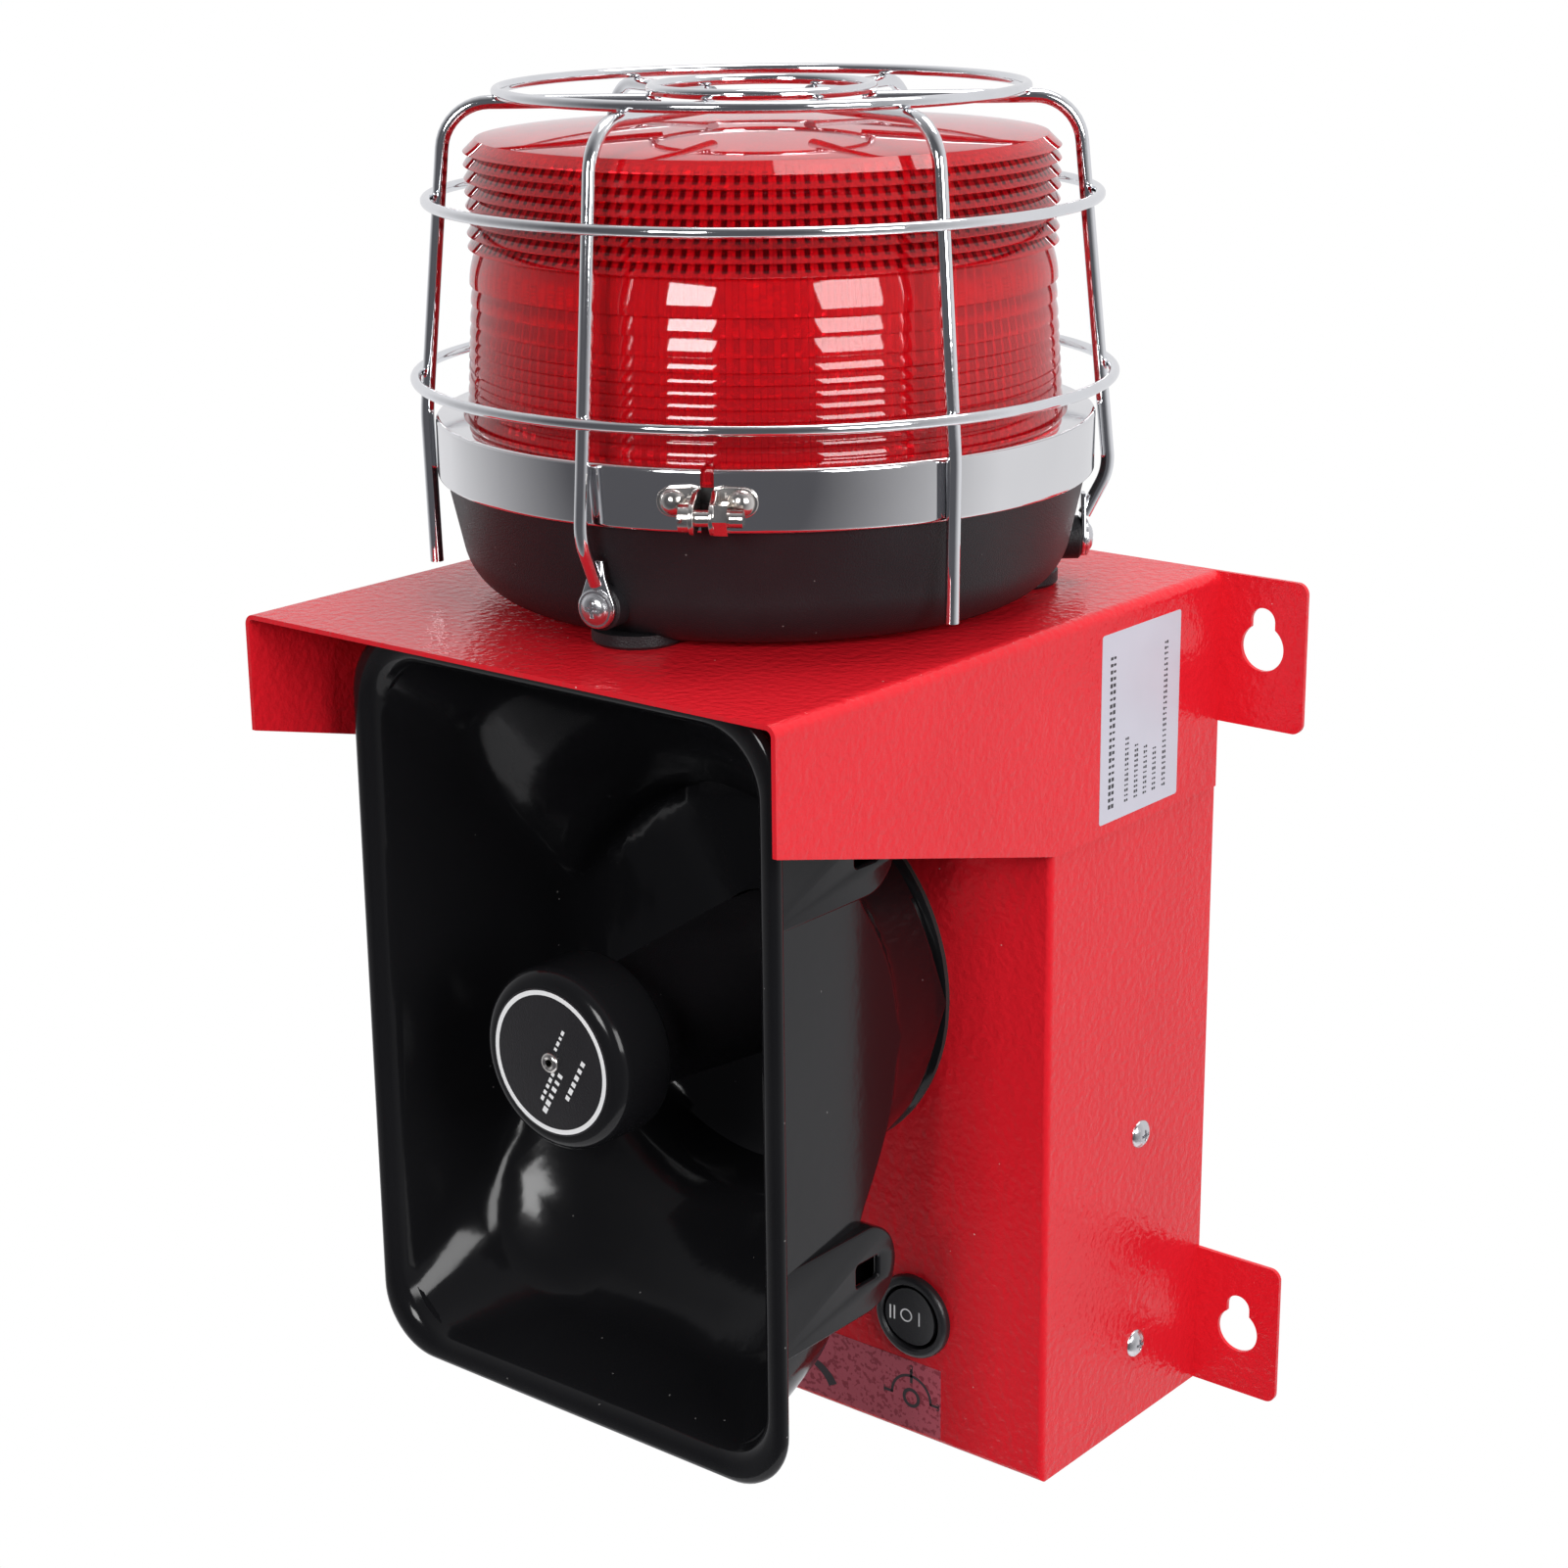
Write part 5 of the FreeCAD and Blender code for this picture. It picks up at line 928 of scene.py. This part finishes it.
# %% Bell panels and flare
PANEL_KEYS = [(0.0, 1.0, 1.0, MOUTH_CORNER), (0.35, 0.958, 0.93, 26), (0.7, 0.913, 0.84, 30),
              (1.0, 0.875, 0.78, 32)]
FLARE_AT = (81.5, 88.0, 96.0, 105.0, 106.5, 113.0, 122.0, 130.0, 138.0, 162.0)
FLARE_RADIUS = (53.0, 54.4, 56.2, 58.2, 60.0, 65.3, 72.6, 83.0, 96.0, 160.0)
PANEL_FRONT = front - 1.5


def flare(forward):
    """Radius of the round flare that cuts the four panels off at the back."""
    return float(np.interp(forward, FLARE_AT, FLARE_RADIUS))


def panel_reach(angles, forward):
    """How far the rounded rectangle of panels reaches from the axis in each direction."""
    w, h, corner = smooth_through(PANEL_KEYS, (front - forward) / depth)
    ring = np.array(rounded_ring(mouth_w * w, mouth_h * h, corner, forward, 60, 60))
    return np.interp(angles, np.arctan2(ring[:, 1], ring[:, 0]), np.hypot(ring[:, 0], ring[:, 1]),
                     period=2 * math.pi)


def crease_at(angle):
    """Where the flare meets the panels in one direction, found by halving."""
    low_end, high_end = seat + FLANGE, front - 3
    for _ in range(24):
        middle = (low_end + high_end) / 2
        if flare(middle) < panel_reach(angle, middle):
            low_end = middle
        else:
            high_end = middle
    return low_end


def outside_row(radius, forward):
    """One ring of the outside, from its reach in every direction."""
    return np.column_stack([radius * np.cos(angles), radius * np.sin(angles), forward])


mouth_ring = np.array(rounded_ring(mouth_w, mouth_h, MOUTH_CORNER, PANEL_FRONT))
angles = np.arctan2(mouth_ring[:, 1], mouth_ring[:, 0])
crease = np.array([crease_at(angle) for angle in angles])
print("crease from", round(crease.min(), 1), "to", round(crease.max(), 1), "mm in front of the wall")

# %% Bell outside
flare_start = seat + FLANGE - 0.5
outside = []
for share in [k / 16 for k in range(16)] + [0.985, 1.0]:
    forward = flare_start + (crease - flare_start) * share
    outside.append(outside_row(np.array([flare(f) for f in forward]), forward))
for share in [0.015] + [k / 12 for k in range(1, 13)]:
    forward = crease + (PANEL_FRONT - crease) * share
    radius = np.array([panel_reach(angle, f) for angle, f in zip(angles, forward)])
    outside.append(outside_row(radius, forward))
print("outside rings", len(outside), "of", len(angles), "points")

# %% Bell lip and throat
THROAT_KEYS = [(0.0, 1.0, 1.0, 22), (0.27, 0.965, 0.945, 34), (0.58, 0.91, 0.865, 44),
               (0.75, 0.855, 0.79, 48), (0.87, 0.74, 0.66, 44), (0.94, 0.585, 0.5, 36),
               (1.0, 0.47, 0.32, 29)]
THROAT_SHARES = (0.18, 0.27, 0.34, 0.42, 0.5, 0.58, 0.64, 0.7, 0.75, 0.78, 0.81, 0.84, 0.87, 0.9, 0.92, 0.94)
# each row: narrower by, corner radius, how far in front of the wall
LIP_ROWS = [(5.0, LIP_CORNER - 2, front - 0.4), (1.2, LIP_CORNER, front), (0.3, LIP_CORNER, front + 0.35),
            (0.0, LIP_CORNER, front + 1.0), (0.3, LIP_CORNER, rim_front - 1.1),
            (1.6, LIP_CORNER, rim_front - 0.35), (3.6, LIP_CORNER, rim_front),
            (8.0, LIP_CORNER, rim_front - 0.1),
            (11.0, LIP_CORNER, rim_front - 0.9), (13.4, 16.0, rim_front - 2.6)]
rear = rounded_ring(2 * BORE, 2 * BORE, BORE, seat)
# Black flange ring at the wall: a real flange, wide enough to stand in for the bell's cast shadow on the
# front plate.
rear += rounded_ring(2 * FLANGE_AND_SHADOW_R, 2 * FLANGE_AND_SHADOW_R, FLANGE_AND_SHADOW_R, seat)
lip = []
for less, corner, forward in LIP_ROWS:
    lip += rounded_ring(rim_w - less, rim_h - less, corner, forward)
lip += rounded_ring(rim_w - 15.0, rim_h - 15.2, 16.5, rim_front - 5.5)
inside = []
for share in THROAT_SHARES:
    forward = front - depth * share
    w, h, corner = smooth_through(THROAT_KEYS, share)
    ring = np.array(rounded_ring(mouth_w * w - 2 * WALL, mouth_h * h - 2 * WALL, corner - WALL, forward))
    limit = np.minimum(flare(forward), panel_reach(np.arctan2(ring[:, 1], ring[:, 0]), forward)) - WALL
    ring[:, :2] *= np.minimum(1, limit / np.hypot(ring[:, 0], ring[:, 1]))[:, None]
    inside.append(ring)
inside.append(np.array(rounded_ring(2 * BORE, 2 * BORE, BORE, seat + FLANGE + 1.5)))
bell_points = np.vstack([rear] + outside + [lip] + inside)
per_ring_count = len(angles)
bell_faces = grid_faces(len(bell_points) // per_ring_count, per_ring_count)
piece("horn_bell_moulding", on_horn(bell_points), bell_faces, horn_gloss, replaces=["horn_bell"],
      sharp=50)

# %% Horn legs
LEG_OFFSET, LEG_HEIGHT, LEG_TIP, LEG_SKIN, LEG_DEEP = 55.0, 23.0, 112.0, 2.0, 11.0
leg_out = rim_w / 2 - LIP
radius = LEG_HEIGHT / 2
leg_start = rim_front - 2.0
leg_outline = [(leg_start, -radius), (leg_start, radius)]
leg_outline += arc_points(LEG_TIP + radius, 0, radius, 90, 270, 28)
hollow = [(leg_start - LEG_SKIN, -radius + LEG_SKIN), (leg_start - LEG_SKIN, radius - LEG_SKIN)] + \
    arc_points(LEG_TIP + radius, 0, radius - LEG_SKIN, 90, 270, 28)
sx, sy, sr = LEG_TIP + radius, 4.5, 1.0
slot_outline = []
for k, (cx, cy) in enumerate(((sy - sr, 3 - sr), (-sy + sr, 3 - sr), (-sy + sr, -3 + sr),
                              (sy - sr, -3 + sr))):
    slot_outline += arc_points(sx + cx, cy, sr, 90 * k, 90 * k + 90, 5)
skin = flat_plate("leg_skin", [leg_outline, slot_outline], LEG_SKIN, 0.7)
web = flat_plate("leg_web", [leg_outline, hollow], LEG_DEEP - LEG_SKIN + 0.6, 0.0)
leg_parts = []
for side in (-1, 1):
    for level in (-LEG_OFFSET, LEG_OFFSET):
        for mesh, centre in ((skin, leg_out - LEG_SKIN / 2),
                             (web, leg_out - LEG_SKIN - (LEG_DEEP - LEG_SKIN) / 2 + 0.3)):
            basis = Matrix(((0, 0, side * MM, side * centre * MM), (-MM, 0, 0, 0),
                            (0, MM, 0, HORN_Z + level * MM), (0, 0, 0, 1)))
            leg_parts.append((mesh, basis))
legs = bpy.data.objects.new("legs", joined_mesh("legs", leg_parts))
cutter = []
for ring in outside + [np.array(rounded_ring(mouth_w, mouth_h, 22, rim_front + 2))]:
    cutter.append(ring.copy())
    cutter[-1][:, :2] *= (1 - 0.5 / np.hypot(ring[:, 0], ring[:, 1]))[:, None]
solid_points = np.vstack(cutter)
solid_faces = grid_faces(len(cutter), per_ring_count, wrap_rings=False)
solid_faces.append(tuple(range(per_ring_count)))
solid_faces.append(tuple(range((len(cutter) - 1) * per_ring_count, len(solid_points))))
solid_mesh = bpy.data.meshes.new("bell_solid")
solid_mesh.from_pydata([tuple(p) for p in on_horn(solid_points)], [], solid_faces)
bell_solid = bpy.data.objects.new("bell_solid", solid_mesh)
for obj in (legs, bell_solid):
    scene.collection.objects.link(obj)
    b = bmesh.new()
    b.from_mesh(obj.data)
    bmesh.ops.remove_doubles(b, verts=b.verts, dist=1e-6)
    bmesh.ops.recalc_face_normals(b, faces=b.faces)
    b.to_mesh(obj.data)
    b.free()
cut = legs.modifiers.new("cut", "BOOLEAN")
cut.operation, cut.object, cut.use_self = "DIFFERENCE", bell_solid, True
bpy.context.view_layer.update()
leg_mesh = bpy.data.meshes.new_from_object(legs.evaluated_get(bpy.context.evaluated_depsgraph_get()))
bpy.data.objects.remove(legs)
bpy.data.objects.remove(bell_solid)
finished("horn_legs", leg_mesh, horn_gloss, replaces=["horn_bell"], sharp=40)

# %% [markdown]
# ## Horn cap
# A moulded cap closes the middle of the horn. A thin disc with a printed
# ring is held to it by a hollow rivet.

# %% Cap, disc and printed ring
cap_front, cap_rear = -cap_low.y / MM, -cap_high.y / MM
CAP_R = (cap_high.x - cap_low.x) / MM / 2 - 0.3
outline = [(1.7, cap_front), (CAP_R - 4.2, cap_front)]
outline += bend((CAP_R - 4.2, cap_front - 4.2), 4.2, 90, 0, 10) + [(CAP_R + 0.1, cap_rear + 3)]
outline += bend((CAP_R - 1.3, cap_rear + 1.5), 1.5, 0, -90, 4)
outline += [(CAP_R - 2.4, cap_rear), (CAP_R - 2.6, cap_front - 4.5), (CAP_R - 5.0, cap_front - 2.5),
            (1.7, cap_front - 2.5)]


def horn_turned(name, outline, columns, material, replaces=(), sharp=35):
    points, faces = turn(outline, columns)
    return piece(name, on_horn(points), faces, material, replaces=replaces, sharp=sharp)


horn_turned("horn_cap_moulding", outline, 96, horn_gloss, ["horn_cap"], 50)
disc_low, disc_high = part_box("cap_disc")
disc_front, DISC_R = -disc_low.y / MM, (disc_high.x - disc_low.x) / MM / 2
disc_outline = [(1.7, disc_front - 0.03), (DISC_R - 0.2, disc_front - 0.03), (DISC_R, disc_front - 0.1),
                (DISC_R, cap_front),
                (1.7, cap_front)]
horn_turned("cap_disc_plate", disc_outline, 96, satin_black, ["cap_disc"])
ring_outline = [(17.3, disc_front), (18.5, disc_front), (18.5, disc_front - 0.05), (17.3, disc_front - 0.05)]
horn_turned("cap_disc_ring", ring_outline, 96, print_white, ())

# %% [markdown]
# ## Printed marks
# Lettering is left off. Where the real labels carry lines of print, short
# dashes of random length stand in, set out in rows by a Geometry Nodes tree
# with a fixed seed, so the labels read as printed from a distance.

# %% Dash tree
dash_tree, source, result = new_tree("print_dashes", (
    ("Dashes", "Int"), ("Length", "Float"), ("Height", "Float"), ("Spacing", "Float"), ("Seed", "Int"),
    ("Material", "Material")))
row = add(dash_tree, "GeometryNodePoints", Count=source.outputs["Dashes"])
number = add(dash_tree, "GeometryNodeInputIndex")
along = add(dash_tree, "ShaderNodeMath", {"operation": "MULTIPLY"}, i0=number.outputs[0],
            i1=source.outputs["Spacing"])
spot = add(dash_tree, "ShaderNodeCombineXYZ", X=along.outputs[0])
spread_out = add(dash_tree, "GeometryNodeSetPosition", Geometry=row.outputs[0], Position=spot.outputs[0])
block = add(dash_tree, "GeometryNodeMeshCube")
dash_size = add(dash_tree, "ShaderNodeCombineXYZ", X=source.outputs["Length"], Y=source.outputs["Height"],
                Z=0.04)
dash_tree.links.new(dash_size.outputs[0], block.inputs["Size"])
stretch = add(dash_tree, "FunctionNodeRandomValue", {"data_type": "FLOAT"}, Seed=source.outputs["Seed"])
stretch.inputs[2].default_value, stretch.inputs[3].default_value = 0.45, 1.0
widths = add(dash_tree, "ShaderNodeCombineXYZ", X=stretch.outputs[1], Y=1.0, Z=1.0)
placed = add(dash_tree, "GeometryNodeInstanceOnPoints", Points=spread_out.outputs[0],
             Instance=block.outputs[0],
             Scale=widths.outputs[0])
close_tree(dash_tree, placed.outputs[0], source, result)


def dashes(count, length, height, spacing, seed, ink):
    """One line of print, starting at the local origin and running along X, in millimetres."""
    return grown("dashes", bpy.data.meshes.new("row"), dash_tree,
                 {"Dashes": count, "Length": length, "Height": height, "Spacing": spacing, "Seed": seed,
                  "Material": ink})


# %% Specification label
label_low, label_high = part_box("spec_label")
label_w, label_h = (label_high.y - label_low.y) / MM, (label_high.z - label_low.z) / MM
corner = 0.8
label_outline = []
for k, (cx, cy) in enumerate(((1, 1), (-1, 1), (-1, -1), (1, -1))):
    label_outline += arc_points(cx * (label_w / 2 - corner), cy * (label_h / 2 - corner), corner, 90 * k,
                                90 * k + 90, 4)
label_plate = flat_plate("label", [label_outline], 0.11)
face_x = label_low.x + 0.055 * MM
label_middle = Vector((face_x, (label_low.y + label_high.y) / 2, (label_low.z + label_high.z) / 2))
to_label = Matrix.Translation(label_middle) @ Matrix(((0, 0, 1), (1, 0, 0),
                                                      (0, 1, 0))).to_4x4() @ Matrix.Scale(MM, 4)
finished("spec_label_paper", joined_mesh("spec_label_paper", [(label_plate, to_label)]), label_paper,
         replaces=["spec_label"])
LINES = [(-13.0, 23, 1.15, 2.5, 1.75), (-6.0, 13, 0.8, 1.6, 1.35), (-1.6, 11, 0.8, 1.6, 1.35),
         (2.6, 10, 0.8, 1.6, 1.35), (6.8, 9, 0.8, 1.6, 1.35), (11.4, 27, 0.8, 1.6, 1.45)]
print_parts = []
for number_of_line, (offset, count, length, height, spacing) in enumerate(LINES):
    for half, seed in ((-0.28, 3), (0.28, 40)):
        line = dashes(count, length, height * 0.42, spacing, seed + number_of_line, print_ink)
        stand_up = Matrix.Translation((offset + half * height, -label_h / 2 + 4.0,
                                       0.06)) @ Matrix.Rotation(math.pi / 2, 4, "Z")
        print_parts.append((line, to_label @ stand_up))
finished("spec_label_print", joined_mesh("spec_label_print", print_parts), print_ink,
         merge=1e-8)

# %% Cap print
disc_face = Matrix(((MM, 0, 0, 0), (0, 0, -MM, -disc_front * MM + 0.015 * MM), (0, MM, 0, HORN_Z),
                    (0, 0, 0, 1)))
cap_lines = [(-3.0, -10.0, 5, 1.6, 1.0, 2.0, 62), (-2.2, -13.0, 6, 1.9, 1.5, 2.3, 62),
             (5.5, -8.0, 6, 1.9, 1.3, 2.3, 62), (2.0, 4.0, 4, 1.4, 0.9, 1.8, 62)]
cap_parts = []
for seed, (x, y, count, length, height, spacing, lean_angle) in enumerate(cap_lines):
    line = dashes(count, length, height, spacing, seed + 20, print_white)
    cap_parts.append((line, disc_face @ Matrix.Translation((x, y, 0.0)) @
                      Matrix.Rotation(math.radians(lean_angle), 4, "Z")))
finished("cap_disc_print", joined_mesh("cap_disc_print", cap_parts), print_white,
         merge=1e-8)

# %% [markdown]
# ## Control sticker
# A clear film with grey marks sits along the front's lower edge: a wedge
# that grows round the volume control, and a dial with the numbers 1, 2 and 3
# round the tone control. Numbers are text turned into plain meshes.

# %% Sticker film and marks
film_low, film_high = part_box("control_sticker")
film_w, film_h = (film_high.x - film_low.x) / MM, (film_high.z - film_low.z) / MM
film_middle = Vector(((film_low.x + film_high.x) / 2, film_high.y - 0.055 * MM,
                      (film_low.z + film_high.z) / 2))
to_film = Matrix.Translation(film_middle) @ Matrix(((1, 0, 0), (0, 0, -1),
                                                    (0, 1, 0))).to_4x4() @ Matrix.Scale(MM, 4)
film_outline = [(-film_w / 2, -film_h / 2), (film_w / 2, -film_h / 2), (film_w / 2, film_h / 2),
                (-film_w / 2, film_h / 2)]
finished("control_sticker_film", joined_mesh("film", [(flat_plate("film", [film_outline], 0.11),
                                                       to_film)]), film,
         replaces=["control_sticker"])
sticker_grey = finish("sticker_grey", (0.035, 0.025, 0.03), 0.45, grain=2500, bump=0.02)


def band_arc(x, y, inner_r, outer_r, first, last, steps=24):
    """A flat arc whose width may grow along it."""
    angles = np.linspace(first, last, steps + 1)
    start_in, end_in = inner_r
    start_out, end_out = outer_r
    inner_line = [(x + (start_in + (end_in - start_in) * i / steps) * math.cos(math.radians(a)),
                   y + (start_in + (end_in - start_in) * i / steps) * math.sin(math.radians(a))) for i,
                  a in enumerate(angles)]
    outer_line = [(x + (start_out + (end_out - start_out) * i / steps) * math.cos(math.radians(a)),
                   y + (start_out + (end_out - start_out) * i / steps) * math.sin(math.radians(a))) for i,
                  a in enumerate(angles)]
    return inner_line + outer_line[::-1]


volume_x = (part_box("volume_shaft")[0].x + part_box("volume_shaft")[1].x) / 2 / MM - film_middle.x / MM
tone_x = (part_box("tone_shaft")[0].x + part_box("tone_shaft")[1].x) / 2 / MM - film_middle.x / MM + 1.0
wedge_y, dial_y = -film_h / 2 - 1.0, -0.9
marks = [band_arc(volume_x, wedge_y, (10.6, 9.8), (11.0, 12.9), 150, 28),
         band_arc(tone_x, dial_y, (6.1, 6.1), (6.9, 6.9), 182, -2)]
TICKS = ((-9.3, -6.2, -0.4, 0.4), (6.2, 9.3, -0.4, 0.4), (-0.4, 0.4, 4.4, 8.6))
for left, right_edge, bottom, top_edge in TICKS:
    marks.append([(tone_x + left, dial_y + bottom), (tone_x + right_edge, dial_y + bottom),
                  (tone_x + right_edge, dial_y + top_edge), (tone_x + left, dial_y + top_edge)])
mark_parts = [(flat_plate("mark", [shape], 0.04), to_film @ Matrix.Translation((0, 0, 0.07)))
              for shape in marks]
knob_circles = [arc_points(tone_x, dial_y, circle_radius, 0, 350, 35) for circle_radius in (2.9, 1.9)]
knob_ring = flat_plate("mark", knob_circles, 0.04)
mark_parts.append((knob_ring, to_film @ Matrix.Translation((0, 0, 0.07))))


def number_mesh(text, size):
    """A number as a thin plain mesh, centred on the local origin."""
    curve = bpy.data.curves.new("number", "FONT")
    curve.body, curve.size, curve.extrude = text, size, 0.02
    curve.align_x, curve.align_y = "CENTER", "CENTER"
    obj = bpy.data.objects.new("number", curve)
    scene.collection.objects.link(obj)
    bpy.context.view_layer.update()
    mesh = bpy.data.meshes.new_from_object(obj.evaluated_get(bpy.context.evaluated_depsgraph_get()))
    bpy.data.objects.remove(obj)
    return mesh


for text, x, y in (("1", -10.6, 0.0), ("2", 0.0, 9.9), ("3", 10.3, -0.2)):
    spot = (tone_x + x * 0.86, dial_y + y * 0.86, 0.07)
    mark_parts.append((number_mesh(text, 3.0), to_film @ Matrix.Translation(spot)))
finished("control_sticker_marks", joined_mesh("marks", mark_parts), sticker_grey,
         merge=1e-8)

# %% [markdown]
# ## Rocker marks
# The three-position rocker carries II, O and I in white. The marks ride on
# the rocker's own body and tilt with it.

# %% Rocker marks
switch_low, switch_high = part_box("switch_housing")
switch_x, switch_z = (switch_low.x + switch_high.x) / 2, (switch_low.z + switch_high.z) / 2
to_rocker = Matrix(((MM, 0, 0, switch_x), (0, 0, -MM, BOX_FRONT), (0, MM, 0, switch_z), (0, 0, 0, 1)))


def rocker_face(x):
    """How far the rocker's curved face stands forward of the box at a distance from its middle."""
    edge_height, valley = 2.6, 1.4
    rise = edge_height - valley
    reach = 9.1
    curve_radius = (reach ** 2 + rise ** 2) / (2 * rise)
    return valley + curve_radius - math.sqrt(curve_radius ** 2 - x ** 2)


def bar(x, half_height=2.0, half_width=0.2):
    return [(x - half_width, -half_height), (x + half_width, -half_height), (x + half_width, half_height),
            (x - half_width, half_height)]


rocker_parts = []
ring_mark = [arc_points(-1.7, 0, 1.9, 0, 350, 35), arc_points(-1.7, 0, 1.5, 0, 350, 35)]
for shapes in ([bar(-6.6)], [bar(-5.4)], [bar(2.6)], ring_mark):
    mark = flat_plate("mark", shapes, 0.06)
    for v in mark.vertices:
        v.co.z += rocker_face(v.co.x) + 0.04
    rocker_parts.append((mark, to_rocker))
finished("rocker_marks", joined_mesh("rocker_marks", rocker_parts), print_white, body="rocker",
         merge=1e-8)

# %% [markdown]
# ## Beacon base
# The black base is a deep moulded bowl with a soft lower corner, three feet
# and three screw bosses. A turned outline gives the bowl; the bosses are
# short turned plugs that sink into it.

# %% Beacon base
NECK_R, RIM_R, CORNER_R, DRAFT = 80.5, 81.5, 16.0, 12.0
RIM_BOTTOM, RIM_TOP, RIM_INSIDE, BOWL_WALL = 32.0, 38.2, 75.9, 2.6
draft = math.radians(DRAFT)


def bowl_radius(height):
    return NECK_R - (RIM_BOTTOM - height) * math.tan(draft)


foot_z = 1.0
centre_z = foot_z + CORNER_R
turn_z = centre_z - CORNER_R * math.sin(draft)
centre_r = bowl_radius(turn_z) - CORNER_R * math.cos(draft)
outline = [(0, foot_z), (centre_r - 4, foot_z)] + bend((centre_r, centre_z), CORNER_R, -90, -DRAFT, 18)
outline += [(NECK_R, RIM_BOTTOM - 0.4), (NECK_R + 0.3, RIM_BOTTOM), (RIM_R, RIM_BOTTOM), (RIM_R, RIM_TOP),
            (RIM_INSIDE, RIM_TOP), (RIM_INSIDE, RIM_BOTTOM), (bowl_radius(turn_z) - BOWL_WALL, turn_z)]
outline += bend((centre_r, centre_z), CORNER_R - BOWL_WALL, -DRAFT, -90, 8) + [(0, foot_z + 3.0)]
points, faces = turn(outline, 192)
piece("beacon_base_bowl", on_beacon(points), faces, satin_black, replaces=["beacon_base"])
plug_parts = []
foot_profile = [(0, 0), (10.2, 0), (11, 0.8), (11, 3.5), (0, 3.5)]
boss_profile = [(0, 9.0), (4.9, 9.0), (5.5, 8.4), (5.5, 0), (0, 0)]
for profile, name in ((foot_profile, "foot"), (boss_profile, "boss")):
    points, faces = turn(profile, 40)
    mesh = bpy.data.meshes.new(name)
    mesh.from_pydata([tuple(p) for p in points], [], faces)
    for angle in EYED_ANGLES:
        a = math.radians(angle)
        reach = bowl_radius(turn_z) - 13.5
        if name == "foot":
            matrix = Matrix.Translation((reach * math.cos(a) * MM, reach * math.sin(a) * MM + BEACON_Y,
                                         HOOD_TOP)) @ Matrix.Scale(MM, 4)
        else:
            matrix = beacon_face(angle, SPADE_OUT - 9.0, SPADE_HEIGHT)
        plug_parts.append((mesh, matrix))
finished("beacon_base_bosses", joined_mesh("bosses", plug_parts), satin_black, replaces=["beacon_base"])

# %% [markdown]
# ## Finishes of the carried-over parts
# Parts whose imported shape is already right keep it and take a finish:
# painted sheet steel, zinc plate, nylon, rubber and the electronics inside.

# %% Inner finishes
ferrite = finish("ferrite_grey", (0.05, 0.05, 0.055), 0.65, grain=1600, bump=0.25)
soft_iron = finish("plated_iron", (0.48, 0.48, 0.49), 0.35, metal=1.0, grain=1200, bump=0.08)
cast_grey = finish("cast_grey", (0.30, 0.31, 0.32), 0.5, metal=0.8, grain=1000, bump=0.3, patches=90)
copper = finish("enamelled_copper", (0.55, 0.22, 0.09), 0.3, metal=0.9, streaks=2, bump=0.3)
resin_film = finish("resin_film", (0.45, 0.24, 0.08), 0.5, grain=2000, bump=0.1)
board_green = finish("solder_resist", (0.02, 0.16, 0.07), 0.3, grain=1200, bump=0.05, patches=200,
                     drift=0.35)
sleeve = finish("capacitor_sleeve", (0.03, 0.045, 0.13), 0.3, grain=1500, bump=0.04)
aluminium = finish("extruded_aluminium", (0.70, 0.71, 0.72), 0.3, metal=1.0, streaks=2, bump=0.08)
terminal = finish("terminal_green", (0.04, 0.28, 0.12), 0.45, grain=2000, bump=0.08)
lamp_board = finish("lamp_board", (0.80, 0.80, 0.78), 0.35, grain=1500, bump=0.03)
lamp_yellow = finish("lamp_yellow", (0.85, 0.66, 0.16), 0.3, grain=1500, bump=0.05)
contact_tin = finish("tinned_contact", (0.66, 0.6, 0.48), 0.25, metal=1.0, grain=1500, bump=0.06)
FINISHES = {
    red_paint: "hood box_body back_plate", zinc_sheet: "inner_tray board_standoffs",
    satin_black: "tone_tube", seal_rubber: "horn_gasket base_gasket lens_seal gland_seal",
    switch_black: "switch_housing switch_rocker gland_body gland_cap gland_locknut volume_body tone_body",
    screw_zinc: "horn_bolts base_bolts board_screws control_nuts",
    bright_nickel: "cap_rivet clamp_screw clamp_nut volume_shaft tone_shaft",
    ferrite: "driver_magnet", soft_iron: "driver_yoke driver_top_plate transformer_core",
            cast_grey: "driver_cover",
    resin_film: "diaphragm", copper: "voice_coil transformer_coil", board_green: "amp_board",
            sleeve: "capacitors",
    aluminium: "heat_sink led_column", terminal: "terminal_block", lamp_board: "led_boards",
            lamp_yellow: "leds",
    contact_tin: "switch_terminals",
}
dressed = set()
for material, names in FINISHES.items():
    for name in names.split():
        mesh = nodes[name].data
        mesh.materials.clear()
        mesh.materials.append(material)
        dressed.add(name)
hidden = {n for n, o in nodes.items() if o.hide_render}
print("dressed", len(dressed), "replaced", len(hidden), "left", sorted(set(nodes) - dressed - hidden))
